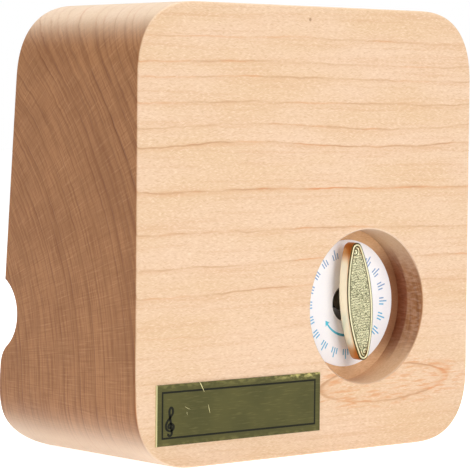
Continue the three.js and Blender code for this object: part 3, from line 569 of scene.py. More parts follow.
# %% Ring lines
back_lines = [
    (101.86, 1.0), (102.9, 0.25), (104.4, 0.75), (105.85, 0.7), (107.95, 0.7), (111.15, 1.2),
    (115.45, 1.0), (117.5, 0.7), (120.3, 0.65), (123.25, 0.6), (125.1, 0.65), (128.2, 0.45),
    (131.0, 0.2), (134.0, 0.35),
]
line_reach = 0.42
shade_reach = 1.5
inner_spacing = 1.4
inner_fade_start, inner_fade_end = 100.6, 101.4


def ring_lines(wood, radius, reach):
    """Darkness of the listed lines: each rises over the reach and ends at once."""
    total = 0.0
    for edge, strength in back_lines:
        gap = wood.math("DIVIDE", wood.math("SUBTRACT", radius, edge), reach)
        line = wood.times(wood.ease(gap, -1, -0.15), wood.ease(gap, -0.05, 0.4, 1, 0))
        total = wood.math("MULTIPLY_ADD", line, strength, total)
    return total


def inner_rings(wood, radius):
    """The evenly paced rings: a soft shade that deepens to a line, of a chance strength."""
    on_radius = wood.node("CombineXYZ", {"X": radius}).outputs[0]
    drift = wood.ease(wood.noise(on_radius, 5), 0.3, 0.7, -0.5, 0.5)
    phase = wood.math("ADD", wood.math("DIVIDE", radius, inner_spacing), drift)
    part = wood.math("FRACT", phase)
    number = wood.math("FLOOR", phase)
    chance = wood.node("TexWhiteNoise", {"W": number}, noise_dimensions="1D").outputs["Value"]
    strength = wood.times(
        wood.ease(chance, 0, 1, 0.1, 1), wood.ease(radius, inner_fade_start, inner_fade_end, 1, 0)
    )
    ending = wood.ease(part, 0.9, 1, 1, 0)
    line = wood.times(wood.ease(part, 0.68, 0.9), ending)
    shade = wood.times(wood.ease(part, 0.1, 0.95), ending)
    return wood.times(line, strength), wood.times(shade, strength)


def rings(wood, radius, outwards):
    """All ring lines and the shades that lead up to them, wider where the surface cuts them flat."""
    slope = wood.math("MAXIMUM", wood.math("SUBTRACT", 1.0, wood.math("POWER", outwards, 2)), 0.001)
    slope = wood.math("SQRT", slope)
    inner_line, inner_shade = inner_rings(wood, radius)
    line = wood.math("ADD", ring_lines(wood, radius, wood.times(slope, line_reach)), inner_line)
    shade = wood.math("ADD", ring_lines(wood, radius, wood.times(slope, shade_reach)), inner_shade)
    fading = wood.ease(wood.noise(wood.stretched(0.3, 1, 1), 4, detail=2), 0.35, 0.65, 0.25, 1)
    return wood.times(line, fading), shade


# %% Long grain
speck_x, speck_z = 1.2, 97.0


def oval_blush(wood, radius):
    """Orange strands along the innermost ring, where the saw just grazed it."""
    strands = wood.noise(wood.stretched(0.12, 1, 1), 0.55, detail=2)
    closeness = wood.ease(wood.apart(radius, back_lines[0][0] - 0.02), 0.02, 0.14, 1, 0)
    return wood.times(closeness, wood.ease(strands, 0.45, 0.68, 0, 0.6))


def dark_speck(wood):
    """A speck near the top of the back, half a millimetre across and a few millimetres deep."""
    off_speck = wood.vector("SUBTRACT", wood.place, (speck_x, back_face, speck_z))
    distance = wood.vector("LENGTH", wood.vector("MULTIPLY", off_speck, (1, 0.1, 1)))
    return wood.ease(distance, 0.2, 0.5, 0.7, 0)


def long_grain(wood, radius, line, shade, patch):
    """Planed along the fibres: pale, with short wavy flecks, thin ring lines and warm stains."""
    ripple = wood.ease(wood.noise(wood.stretched(1, 0.6, 0.6), 1.7), 0.2, 0.8, -0.3, 0.3)
    fleck = wood.noise(wood.vector("MULTIPLY", wood.raised(ripple), (0.2, 1, 1)), 0.2, detail=1)
    streak = wood.noise(wood.stretched(0.04, 1, 1), 0.9, detail=3)
    stain = wood.noise(wood.stretched(0.5, 1, 1), 7, detail=1)
    ink = wood.fade(stain, 0.52, 0.66, colour(190, 140, 98), colour(212, 134, 74))
    tone = wood.coats(
        wood.fade(patch, 0.3, 0.7, colour(231, 198, 167), colour(225, 190, 152)),
        (wood.ease(streak, 0.45, 0.75, 0, 0.5), colour(216, 172, 132)),
        (wood.ease(fleck, 0.5, 0.85, 0, 0.65), colour(246, 220, 194)),
        (wood.ease(fleck, 0.15, 0.5, 0.8, 0), colour(208, 168, 130)),
        (wood.times(shade, 0.26), colour(212, 162, 116)),
        (oval_blush(wood, radius), colour(214, 142, 84)),
        (dark_speck(wood), colour(150, 104, 70)),
        (wood.times(line, 0.8), ink),
    )
    return tone, fleck


# %% End grain
polar_radius = 90.0


def end_grain(wood, radius, line, shade, patch):
    """Sawn across the fibres: darker, striped along the rings and crossed by fine rays."""
    straight = wood.parts(wood.vector("SUBTRACT", wood.place, (0, pith_y, pith_z)))
    angle = wood.math("ARCTAN2", straight["Z"], straight["Y"])
    polar = wood.node("CombineXYZ", {"X": radius, "Y": wood.times(angle, polar_radius)}).outputs[0]
    stripes = wood.noise(wood.vector("MULTIPLY", polar, (1, 0.04, 1)), 0.55, detail=3, roughness=0.6)
    rays = wood.noise(wood.vector("MULTIPLY", polar, (0.05, 1, 1)), 0.34, detail=2)
    return wood.coats(
        wood.fade(patch, 0.3, 0.7, colour(184, 126, 76), colour(168, 112, 63)),
        (wood.ease(stripes, 0.42, 0.7, 0, 0.7), colour(136, 76, 18)),
        (wood.ease(rays, 0.52, 0.85, 0, 0.65), colour(204, 152, 104)),
        (wood.ease(rays, 0.2, 0.5, 0.5, 0), colour(138, 80, 26)),
        (wood.times(shade, 0.4), colour(134, 76, 18)),
        (wood.times(line, 0.5), colour(112, 50, 2)),
    )


# %% Shares of the recess
deep_end = recess_floor + 2.8


def bored(wood):
    """Shares of a place in the bored recess, in its deep end, and in its lee side towards -X, where the
    maple finish paints shade.
    """
    place = wood.parts(wood.place)
    across = wood.math("SUBTRACT", place["X"], recess_centre[0])
    up = wood.math("SUBTRACT", place["Z"], recess_centre[1])
    squares = [wood.math("POWER", each, 2) for each in (across, up)]
    from_axis = wood.math("SQRT", wood.math("ADD", *squares))
    within = wood.ease(from_axis, recess_radius + 0.03, recess_radius + 0.12, 1, 0)
    inside = wood.times(within, wood.ease(place["Y"], recess_floor - 1.5, recess_floor - 0.5))
    deep = wood.times(inside, wood.ease(place["Y"], deep_end, deep_end + 0.6, 1, 0))
    level = wood.ease(wood.math("ABSOLUTE", up), 7, 15, 1, 0)
    return inside, deep, wood.times(level, wood.ease(across, -11, -3, 1, 0))


# %% Oiled maple
def maple():
    """Oiled maple: long grain where the surface runs along the pith, end grain where it faces X.

    Wood outside that faces down or up is painted paler: painted light from the floor and from above.
    The recess is darkened with painted shade, most of all at its deep end, on what faces down and
    on its lee side towards -X.
    """
    wood = Finish("oiled_maple", roughness=0.58)
    wood.shader.inputs["Sheen Weight"].default_value = 0.25
    wood.shader.inputs["Sheen Roughness"].default_value = 0.35
    from_pith, radius = growth(wood)
    normal = wood.coordinates["Normal"]
    outwards = wood.vector("DOT_PRODUCT", wood.vector("NORMALIZE", from_pith), normal)
    line, shade = rings(wood, radius, outwards)
    patch = wood.noise(wood.stretched(0.25, 1, 1), 9, detail=3)
    inside, deep, lee = bored(wood)
    outside = wood.ease(inside, 0, 1, 1, 0.15)
    drawn = [wood.times(outside, value) for value in (line, shade)]
    along, fleck = long_grain(wood, radius, *drawn, patch)
    torn = wood.ease(wood.noise(wood.stretched(1, 0.25, 1), 0.5, detail=2), 0.36, 0.76, 0, 0.5)
    across = end_grain(wood, radius, line, shade, patch)
    across = wood.blend(wood.times(inside, torn), across, colour(214, 178, 152))
    end = wood.ease(wood.math("ABSOLUTE", wood.parts(normal)["X"]), 0.55, 1.0)
    level = wood.math("SUBTRACT", 1.0, end)
    upward = wood.parts(normal)["Z"]
    tone = wood.coats(
        wood.blend(end, along, across),
        # Painted light from the floor: wood outside that faces down is painted paler.
        (wood.times(wood.ease(upward, -0.95, -0.1, 0.6, 0), outside), colour(252, 232, 212)),
        # Painted light from above: wood outside that faces up is painted paler.
        (wood.times(wood.ease(upward, 0.25, 0.95, 0, 0.27), outside), colour(255, 236, 212)),
    )
    # Painted shade in the recess: its long grain a little darker, what faces down darker, and the deep
    # end and the lee side towards -X darkest.
    tone = wood.stains(
        tone,
        (wood.times(inside, level), colour(250, 238, 220)),
        (wood.times(inside, wood.ease(upward, -0.9, -0.3, 1, 0)), colour(222, 226, 230)),
        (wood.times(wood.times(deep, end), wood.ease(lee, 0, 1, 0.35, 1)), colour(198, 156, 128)),
        (wood.times(wood.times(deep, level), lee), colour(166, 138, 120)),
    )
    wood.bump(wood.math("SUBTRACT", fleck, line), 0.03)
    return wood.done(tone)


dress(block, maple())
print("maple:", len(back_lines), "measured ring lines")

# %% [markdown]
# ## The printed paper ring
# A paper ring lies on the recess floor, round the shaft's hole. It tells which way to wind: its
# print is a curved arrow in a blue that runs from pale to deep, with plain groups of ticks round
# it. Print has no thickness on paper, but as a layer two hundredths of a millimetre thick it stays
# crisp at any size. The paper itself is a turned ring.

# %% Paper ring
label_low, label_high = millimetres(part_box("winding_label"))
label_centre = ((label_low[0] + label_high[0]) / 2, (label_low[2] + label_high[2]) / 2)
label_radius = (label_high[0] - label_low[0]) / 2
label_hole = 4.3
label_bottom, label_top = label_low[1], label_high[1]
paper_easing = 0.05
paper_profile = [
    (label_hole, label_bottom),
    (label_hole, label_top),
    (label_radius - paper_easing, label_top),
    (label_radius, label_top - paper_easing),
    (label_radius, label_bottom),
]
paper_steps = 160
paper_surface = turned(paper_profile, label_centre, paper_steps)
paper_ring = piece_from_grids("paper_ring", [(paper_surface, True, True)])


def paper():
    """Matt white paper with faint fibres."""
    sheet = Finish("label_paper", roughness=0.7)
    fibre = sheet.noise(sheet.place, 0.35, detail=4)
    sheet.bump(fibre, 0.01)
    return sheet.done(sheet.fade(fibre, 0.3, 0.7, colour(252, 252, 255), colour(248, 249, 255)))


dress(paper_ring, paper())
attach(paper_ring, "case")
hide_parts("winding_label")
print("paper ring:", round(2 * label_radius, 2), "mm across")

# %% Flat strokes
def lifted(flat, y):
    """Flat points (X, Z) put at a depth Y."""
    return np.stack([flat[..., 0], np.full(flat.shape[:-1], y), flat[..., 1]], -1)


def stroke_grids(path, widths, low, high):
    """A flat stroke along (X, Z) points: its edges lie half a width to each side of the path."""
    path = np.asarray(path, float)
    tangent = np.gradient(path, axis=0)
    tangent /= np.linalg.norm(tangent, axis=1, keepdims=True)
    half = (np.asarray(widths, float) / 2).reshape(-1, 1)
    side = np.stack([-tangent[:, 1], tangent[:, 0]], -1) * half
    left, right = path + side, path - side
    section = [lifted(left, low), lifted(left, high), lifted(right, high), lifted(right, low)]
    section = np.stack(section, 1)
    start, end = section[0].reshape(2, 2, 3), section[-1].reshape(2, 2, 3)
    start, end = (np.stack([cap[0], cap[1][::-1]]) for cap in (start, end))
    return [(section, False, True), (start, False, False), (end, False, False)]


def around(centre, radius, degrees):
    """Points (X, Z) round a centre, at radii and at angles in degrees."""
    angle = np.radians(degrees)
    return np.stack([centre[0] + radius * np.cos(angle), centre[1] + radius * np.sin(angle)], -1)


# %% Arrow on the paper
print_low, print_high = label_top - 0.01, label_top + 0.02
arrow_radius = 7.4
arrow_width = 0.75
arrow_head_width, arrow_tip_width = 1.5, 0.05
arrow_tail, arrow_neck, arrow_tip = -112.0, -39.0, -30.5


def arrow_part(start, end, start_width, end_width, points):
    """A stretch of the arrow between two angles, which changes its width evenly."""
    path = around(label_centre, arrow_radius, np.linspace(start, end, points))
    return stroke_grids(path, np.linspace(start_width, end_width, points), print_low, print_high)


shaft = arrow_part(arrow_tail, arrow_neck, arrow_width, arrow_width / 2, points=40)
head = arrow_part(arrow_neck, arrow_tip, arrow_head_width, arrow_tip_width, points=8)
arrow = piece_from_grids("label_arrow", shaft + head)
print("arrow faces:", len(arrow.data.polygons))

# %% Ticks on the paper
tick_inner, tick_outer = 10.6, 12.9
short_tick_share = 0.6
tick_width = 0.3
ticks_in_group = 3
group_count = 20
tick_spacing = 3.6


def ticks():
    """Groups of strokes round the ring: in each, a long one stands between two short ones."""
    grids = []
    for group in range(group_count):
        for tick in range(ticks_in_group):
            angle = group * 360 / group_count + (tick - 1) * tick_spacing
            length_share = 1.0 if tick == 1 else short_tick_share
            radius = tick_inner + np.array([0, 0.5, 1]) * (tick_outer - tick_inner) * length_share
            path = around(label_centre, radius, angle)
            grids += stroke_grids(path, tick_width, print_low, print_high)
    return grids


marks = piece_from_grids("label_marks", ticks())
print("strokes round the ring:", group_count * ticks_in_group)

# %% Inks
def ink(name, pale, deep, start, end):
    """Printing ink that runs from pale to deep between two angles about the label's centre."""
    print_ink = Finish(name, roughness=0.6)
    centre = (label_centre[0], 0, label_centre[1])
    spot = print_ink.parts(print_ink.vector("SUBTRACT", print_ink.place, centre))
    angle = print_ink.math("ARCTAN2", spot["Z"], spot["X"])
    return print_ink.done(print_ink.fade(angle, math.radians(start), math.radians(end), pale, deep))


dress(arrow, ink("arrow_ink", colour(28, 84, 110), colour(84, 198, 226), -110, -50))
dress(marks, ink("mark_ink", colour(104, 186, 226), colour(140, 170, 208), -60, 60))
for layer in (arrow, marks):
    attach(layer, "case")
print("printed layers:", [layer.name for layer in (arrow, marks)])

# %% [markdown]
# ## The title plate
# The plate is a strip of thin brass with an olive lacquer, cut by a guillotine, so its upper edge
# is a little torn and shows bare metal. It carries a printed frame line and a clef, and it has been
# scratched. The sheet is one grid carried over its face and round its edges. The printed lines are
# flat strokes like those on the paper.

# %% Plate sheet
plate_low, plate_high = millimetres(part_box("title_plate"))
plate_easing = 0.07
plate_columns, plate_rows = 161, 49


def plate_grid():
    """The plate's grids: the rings of its edge, its face and its underside."""
    low, high = plate_low[[0, 2]], plate_high[[0, 2]]
    x, z = (np.linspace(low[i], high[i], count) for i, count in enumerate((plate_columns, plate_rows)))
    border = np.concatenate([
        np.stack([x, np.full_like(x, low[1])], -1)[:-1],
        np.stack([np.full_like(z, high[0]), z], -1)[:-1],
        np.stack([x[::-1], np.full_like(x, high[1])], -1)[:-1],
        np.stack([np.full_like(z, low[0]), z[::-1]], -1)[:-1],
    ])
    middle, half = (low + high) / 2, (high - low) / 2
    steps = [(0, plate_low[1]), (0, plate_high[1] - plate_easing), (plate_easing, plate_high[1])]
    edge = [lifted(middle + (border - middle) * (half - drawn_in) / half, y) for drawn_in, y in steps]
    under = np.stack(np.meshgrid(x, z, indexing="ij"), -1)
    face = middle + (under - middle) * (half - plate_easing) / half
    return [
        (np.array(edge), False, True),
        (lifted(face, plate_high[1]), False, False),
        (lifted(under, plate_low[1]), False, False),
    ]


plate = piece_from_grids("title_plate_sheet", plate_grid())
print("plate:", np.round(plate_high - plate_low, 2), "mm")

# %% Frame line
frame_margin = 1.45
frame_line = 0.42
line_low, line_high = plate_high[1] - 0.01, plate_high[1] + 0.015


def frame_grids():
    """The rectangular line: one flat ring between an outer and an inner rectangle."""
    x0, x1 = plate_low[0] + frame_margin, plate_high[0] - frame_margin
    z0, z1 = plate_low[2] + frame_margin, plate_high[2] - frame_margin
    outer = np.array([(x0, z0), (x1, z0), (x1, z1), (x0, z1)])
    inner = outer + np.array([(1, 1), (-1, 1), (-1, -1), (1, -1)]) * frame_line
    corners = [(outer, line_low), (outer, line_high), (inner, line_high), (inner, line_low)]
    return [(np.stack([lifted(flat, y) for flat, y in corners], 1), True, True)]


plate_frame = piece_from_grids("plate_frame_line", frame_grids())
print("frame line:", frame_line, "mm wide")

# %% Clef
def smooth_path(points, steps):
    """A curve through all the points: each stretch is a cubic that follows its neighbours."""
    points = np.asarray(points, float)
    before = np.concatenate([points[:1], points[:-1]])[:-1, None]
    here, there = points[:-1, None], points[1:, None]
    after = np.concatenate([points[1:], points[-1:]])[1:, None]
    t = np.linspace(0, 1, steps, endpoint=False)[None, :, None]
    curve = 0.5 * (
        2 * here
        + (there - before) * t
        + (2 * before - 5 * here + 4 * there - after) * t**2
        + (3 * here - before - 3 * there + after) * t**3
    )
    return np.concatenate([curve.reshape(-1, points.shape[1]), points[-1:]])


clef_height = 6.1
clef_place = (40.6, 7.4)
clef_shares = [
    (0.03, 0.30), (-0.05, 0.27), (-0.09, 0.34), (-0.04, 0.42), (0.06, 0.42), (0.14, 0.34), (0.12, 0.23),
    (0.00, 0.17), (-0.15, 0.22), (-0.21, 0.36), (-0.14, 0.52), (0.00, 0.66), (0.10, 0.80), (0.09, 0.94),
    (0.02, 1.00), (-0.05, 0.90), (-0.04, 0.72), (0.01, 0.45), (0.05, 0.18), (0.05, 0.07), (-0.02, 0.00),
    (-0.10, 0.03), (-0.09, 0.09),
]
clef_line_share = 0.075
level_width_share, upright_gain_share = 0.75, 0.6
clef_steps = 8


def clef_grids():
    """The clef's one stroke, thicker where it runs upright than where it lies level."""
    path = smooth_path(np.array(clef_shares) * clef_height, clef_steps) * [-1, 1] + clef_place
    upright = np.abs(np.gradient(path[:, 1])) / np.linalg.norm(np.gradient(path, axis=0), axis=1)
    widths = clef_height * clef_line_share * (level_width_share + upright_gain_share * upright)
    return stroke_grids(path, widths, line_low, line_high)


plate_clef = piece_from_grids("plate_clef", clef_grids())
print("clef:", clef_height, "mm high")

# %% Scratches
scratches = [
    (1.0, [(32.9, 18.9), (32.1, 17.7), (31.3, 16.3)]),
    (0.7, [(30.1, 13.4), (29.9, 12.5), (29.6, 11.5)]),
    (0.4, [(36.1, 12.3), (36.05, 12.0), (36.0, 11.6)]),
    (0.4, [(36.6, 13.4), (35.9, 13.0), (35.2, 12.7)]),
]
scratch_widths = np.array([0.05, 0.17, 0.06])
scratch_high = line_high + 0.01


def scratch_grids():
    """Each scratch is a stroke that is wide in its middle and runs out at both ends."""
    grids = []
    for width_share, path in scratches:
        grids += stroke_grids(path, width_share * scratch_widths, line_low, scratch_high)
    return grids


plate_scratches = piece_from_grids("plate_scratches", scratch_grids())
print("scratches:", len(scratches))

# %% Finishes of the plate
torn_start, torn_end = 1.0, 15.0


def olive_brass():
    """Olive lacquer over brass, brushed along the plate, with bare metal at its torn upper edge."""
    sheet = Finish("olive_lacquered_brass", roughness=0.42, metallic=0.25)
    sheet.shader.inputs["Specular IOR Level"].default_value = 0.2
    brushed = sheet.noise(sheet.stretched(0.12, 1, 1), 0.35, detail=3)
    cloud = sheet.noise(sheet.place, 9, detail=2)
    worn = sheet.noise(sheet.stretched(0.5, 1, 1), 0.9, detail=3)
    place = sheet.parts(sheet.place)
    near_top = sheet.ease(place["Z"], plate_high[2] - 1.5, plate_high[2] - 0.2)
    torn = sheet.times(near_top, sheet.ease(place["X"], torn_start, torn_end, 1, 0.15))
    bare = sheet.times(torn, sheet.ease(worn, 0.42, 0.62))
    # Painted highlight: a pale strip along the plate's edge towards +X, as if its thin side caught the
    # light.
    painted_edge_highlight = sheet.ease(place["X"], plate_high[0] - 0.32, plate_high[0] - 0.18)
    low_edge = sheet.ease(place["Z"], plate_low[2] + 1.2, plate_low[2] + 0.1, 0, 0.4)
    base = sheet.coats(
        sheet.fade(cloud, 0.3, 0.7, colour(81, 78, 38), colour(72, 70, 33)),
        (sheet.ease(brushed, 0.5, 0.85, 0, 0.5), colour(118, 112, 64)),
        (sheet.times(low_edge, sheet.ease(worn, 0.4, 0.7)), colour(140, 134, 84)),
        (bare, colour(196, 186, 116)),
        (painted_edge_highlight, colour(206, 200, 150)),
    )
    sheet.bump(sheet.math("ADD", brushed, sheet.times(bare, 3.0)), 0.006)
    return sheet.done(base)


def black_print():
    """Black printing ink, dull and a little uneven."""
    line = Finish("black_print", roughness=0.6)
    line.shader.inputs["Specular IOR Level"].default_value = 0.15
    speck = line.noise(line.place, 0.3)
    return line.done(line.blend(speck, colour(14, 15, 6), colour(26, 26, 12)))


def bare_brass():
    """Fresh metal laid bare by a scratch, bright and uneven."""
    metal = Finish("bare_brass", roughness=0.4, metallic=0.6)
    torn = metal.noise(metal.place, 0.2)
    metal.bump(torn, 0.01)
    return metal.done(metal.blend(torn, colour(236, 228, 176), colour(206, 194, 134)))


dress(plate, olive_brass())
dress(plate_scratches, bare_brass())
plate_black = black_print()
for piece in (plate_frame, plate_clef):
    dress(piece, plate_black)
plate_pieces = (plate, plate_frame, plate_clef, plate_scratches)
for piece in plate_pieces:
    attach(piece, "case")
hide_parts("title_plate")
print("plate pieces:", [piece.name for piece in plate_pieces])

# %% [markdown]
# ## The winding key
# The key is a cast brass lozenge. Its face has a raised rim, a groove inside it and a pebbled
# field with a small scroll at each tip, and its side is polished. The lozenge is a stack of rings:
# each ring is the outline drawn in by some amount at some height. Inside the groove the rings close
# on the long axis, and there the height comes from a pattern of domes, as real relief.

# %% Key outline
key_low, key_high = millimetres(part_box("winding_key"))
key_centre = ((key_low[0] + key_high[0]) / 2, (key_low[2] + key_high[2]) / 2)
key_length = 27.1
key_width = 7.9
key_tip_radius = 1.7
key_thickness = 3.1
key_tilt = math.radians(-5.8)
key_face = 22.45
key_under = key_face - key_thickness


def key_outline(drawn_in, long_steps=120, tip_steps=24):
    """The lozenge drawn in by a distance: two long arcs that meet two round tips."""
    half = key_width / 2 - drawn_in
    tip = key_tip_radius - drawn_in
    tip_y = key_length / 2 - key_tip_radius
    radius = (tip_y**2 + half**2 - tip**2) / (2 * (half - tip))
    swing = math.asin(tip_y / (radius - tip))
    return np.concatenate([
        arc((half - radius, 0), radius, -swing, swing, long_steps)[:-1],
        arc((0, tip_y), tip, swing, math.pi - swing, tip_steps)[:-1],
        arc((radius - half, 0), radius, math.pi - swing, math.pi + swing, long_steps)[:-1],
        arc((0, -tip_y), tip, math.pi + swing, 2 * math.pi - swing, tip_steps)[:-1],
    ])


def on_key(flat, y):
    """Puts points of the lozenge's own plane in their place: turned, moved, at depth Y."""
    cos, sin = math.cos(key_tilt), math.sin(key_tilt)
    x = key_centre[0] + flat[..., 0] * cos - flat[..., 1] * sin
    z = key_centre[1] + flat[..., 0] * sin + flat[..., 1] * cos
    return np.stack([x, np.broadcast_to(y, x.shape), z], -1)


print("key:", key_length, "by", key_width, "by", key_thickness, "mm")

# %% Key relief
jitter_cells = 64
dome_steepness = 1.6


def domes(flat, size, seed):
    """Small domes, one in each cell of a jittered grid: high near a cell's point, low between."""
    random = np.random.default_rng(seed)
    jitter = random.random((jitter_cells, jitter_cells, 2)) * 0.8 + 0.1
    cell = np.floor(flat / size)
    nearest = np.full(flat.shape[:-1], np.inf)
    second = np.full(flat.shape[:-1], np.inf)
    for step_x in (-1, 0, 1):
        for step_y in (-1, 0, 1):
            home = cell + (step_x, step_y)
            column, row = np.moveaxis(home.astype(int) % jitter_cells, -1, 0)
            distance = np.linalg.norm(flat / size - (home + jitter[column, row]), axis=-1)
            second = np.minimum(second, np.maximum(nearest, distance))
            nearest = np.minimum(nearest, distance)
    return np.clip((second - nearest) * dome_steepness, 0, 1)


scroll_centre_shares = (0.12, 0.86)
scroll_pitch = 0.7
scroll_turns = 1.6
scroll_ending = 0.2


def scrolls(flat):
    """A spiral ridge near each tip: high where the radius matches the angle's own turn."""
    mirrored = np.where(flat[..., 1:] < 0, -flat, flat)
    centre = np.array(scroll_centre_shares) * (key_width / 2, key_length / 2)
    x, y = np.moveaxis(mirrored - centre, -1, 0)
    radius = np.hypot(x, y)
    turn = radius / scroll_pitch - np.arctan2(y, x) / (2 * math.pi)
    ridge = 0.5 + 0.5 * np.cos(2 * math.pi * turn)
    inside = np.clip((scroll_turns * scroll_pitch - radius) / scroll_ending, 0, 1)
    return ridge * inside, inside


# %% Key lozenge
field_drop = 0.14
field_relief = 0.2
field_start = 1.05
field_steps = 40
dome_size, dome_stretch = 0.42, np.array([1.25, 0.75])
pit_steepness, darkest_pit = 1.2, 0.97
side_shade, rim_shade, groove_shade, field_edge_shade = 0.0, 0.0, 1.0, 0.4
key_edge = [
    (0.45, -key_thickness, side_shade), (0.15, -key_thickness + 0.08, side_shade),
    (0.0, -key_thickness + 0.35, side_shade), (0.0, -0.4, side_shade), (0.02, -0.24, side_shade),
    (0.04, -0.2, groove_shade), (0.26, -0.16, groove_shade), (0.3, -0.04, rim_shade),
    (0.36, 0, rim_shade), (0.66, 0, rim_shade), (0.72, -0.05, rim_shade),
    (0.74, -0.24, groove_shade), (0.94, -0.24, groove_shade), (1.0, -0.1, field_edge_shade),
]


def long_axis(outline):
    """The point of the lozenge's long axis that lies level with each point of an outline."""
    tip_y = key_length / 2 - key_tip_radius
    return np.stack([np.zeros(len(outline)), np.clip(outline[:, 1], -tip_y, tip_y)], -1)


def key_grids():
    """The lozenge's rings, each the outline drawn in to a height, and how dark each point is.

    They run from the underside up the side, over the rim and down the groove, and then over the
    field, which closes on the long axis with the pebbles and scrolls as its height.
    """
    under, start = key_outline(key_edge[0][0]), key_outline(field_start)
    rings = [on_key(long_axis(under), key_under)]
    rings += [on_key(key_outline(drawn_in), key_face + rise) for drawn_in, rise, _ in key_edge]
    edge_shade = np.array([side_shade] + [shade for _, _, shade in key_edge])
    share = np.linspace(1, 0, field_steps)[:, None, None]
    flat = long_axis(start) + (start - long_axis(start)) * share
    scroll, inside = scrolls(flat)
    pebble = domes(flat * dome_stretch, dome_size, seed=7) * (1 - inside) + scroll
    field = on_key(flat, key_face - field_drop + field_relief * (pebble - 0.5))
    pits = np.clip(1 - pebble * pit_steepness, 0, 1) * darkest_pit
    shade = np.concatenate([np.repeat(edge_shade[:, None], len(under), 1), pits])
    return np.concatenate([np.array(rings), field]), shade


key_smooth_angle = 50
key_surface, key_shade = key_grids()
lozenge = piece_from_grids(
    "winding_key_brass", [(key_surface, False, True)], smooth_angle=key_smooth_angle, shades=[key_shade]
)
print("lozenge points:", key_shade.size)

# %% Key stem
stem_radius = 2.5
stem_flare = 0.5
stem_easing = 0.15
stem_sunk = 0.4
stem_lap = 0.02
stem_profile = [
    (0, key_low[1]),
    (stem_radius - stem_easing, key_low[1]),
    (stem_radius, key_low[1] + stem_easing),
    (stem_radius, key_under - stem_flare),
    (stem_radius + stem_easing, key_under - stem_easing),
    (stem_radius + stem_flare, key_under + stem_lap),
    (stem_radius + stem_flare, key_under + stem_sunk),
    (0, key_under + stem_sunk),
]
stem_steps = 64
stem = piece_from_grids("key_stem", [(turned(stem_profile, key_centre, stem_steps), False, True)])
combine(lozenge, stem, "UNION")
smooth_below(lozenge.data, key_smooth_angle)
print("key faces:", len(lozenge.data.polygons))

# %% Key brass
def key_brass():
    """Pale cast brass: polished on its side and rim, with dark olive left in what lies deep."""
    cast = Finish("key_brass", roughness=0.32, metallic=1.0)
    deep = cast.node("Attribute", {}, attribute_name="shade").outputs["Fac"]
    forward = cast.ease(cast.parts(cast.coordinates["Normal"])["Y"], 0.5, 0.9)
    speck = cast.noise(cast.place, 0.35, detail=3)
    across = cast.vector("SUBTRACT", cast.place, (key_centre[0], 0, key_centre[1]))
    from_stem = cast.vector("LENGTH", cast.vector("MULTIPLY", across, (1, 0, 1)))
    # Painted reflection: towards both tips the side is painted orange-brown, as if it mirrored the
    # maple round it.
    painted_wood_reflection = cast.ease(from_stem, key_length / 2 - 4.5, key_length / 2 - 1.8, 0, 0.9)
    face = cast.fade(speck, 0.3, 0.7, colour(208, 202, 164), colour(186, 184, 152))
    side = cast.blend(painted_wood_reflection, colour(255, 243, 210), colour(200, 134, 56))
    tone = cast.fade(deep, 0.1, 0.95, cast.blend(forward, side, face), colour(66, 66, 42))
    cast.feed(cast.shader.inputs["Roughness"], cast.ease(deep, 0, 1, 0.3, 0.6))
    cast.bump(speck, 0.01)
    return cast.done(tone)


dress(lozenge, key_brass())
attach(lozenge, "winding_train")
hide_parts("winding_key")

# %% [markdown]
# ## The bottom cover
# The movement goes in from below, so the block's underside is closed by a board of thin plywood,
# set in by 0.8 mm, with four long slots that let the sound out and four countersunk screws. The
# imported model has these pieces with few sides. Here the board is a stack of rings, its slots and
# screw holes are cut by stacked and turned cutters, and every edge gets the small break that
# sandpaper leaves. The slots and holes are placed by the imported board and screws, so the fit stays.

# %% Stacked outlines
def stadium(half_length, half_width, steps=16):
    """A rounded bar about the origin, long in Y: two half circles and the sides between them."""
    reach = half_length - half_width
    upper = arc((0, reach), half_width, 0, math.pi, steps)
    lower = arc((0, -reach), half_width, math.pi, 2 * math.pi, steps)
    return np.concatenate([upper, lower])


def rounded_board(half_x, half_y, radius, steps=8):
    """A rectangle about the origin with round corners."""
    centres = np.array([(1, 1), (-1, 1), (-1, -1), (1, -1)]) * (half_x - radius, half_y - radius)
    quarter = math.pi / 2
    return np.concatenate([
        arc(centre, radius, turn * quarter, (turn + 1) * quarter, steps)
        for turn, centre in enumerate(centres)
    ])


def stacked(outlines, heights, centre):
    """Rings of equal count at heights in Z about a centre, closed onto a line at both ends."""
    rings = []
    for flat, z in zip(outlines, heights):
        rings.append(np.concatenate([flat + centre, np.full((len(flat), 1), z)], 1))
    ends = []
    for ring in (rings[0], rings[-1]):
        half = (ring.max(0) - ring.min(0)) / 2
        short, long = (0, 1) if half[0] < half[1] else (1, 0)
        line = ring.copy()
        line[:, short] = centre[short]
        reach = half[long] - half[short]
        line[:, long] = np.clip(line[:, long], centre[long] - reach, centre[long] + reach)
        ends.append(line)
    return [(np.array([ends[0], *rings, ends[1]]), False, True)]


def upright(profile, centre, steps=48):
    """A profile of (radius, Z) points carried round a vertical axis through (X, Y)."""
    x, z, y = np.moveaxis(turned(profile, (0, 0), steps), -1, 0)
    return np.stack([x + centre[0], y + centre[1], z], -1)


# %% Plywood board
cover_middle = (cover_low + cover_high)[:2] / 2
cover_half = (cover_high - cover_low)[:2] / 2
cover_corner = 2.3
slot_count, slot_spacing = 4, 10.0
slot_half_length, slot_half_width = 9.0, 2.5
edge_break = 0.15

cover_levels = [cover_low[2], cover_low[2] + edge_break, cover_high[2] - edge_break, cover_high[2]]
cover_outlines = [
    rounded_board(*(cover_half - drawn_in), cover_corner - drawn_in)
    for drawn_in in (edge_break, 0, 0, edge_break)
]
board = piece_from_grids("plywood_cover", stacked(cover_outlines, cover_levels, cover_middle))


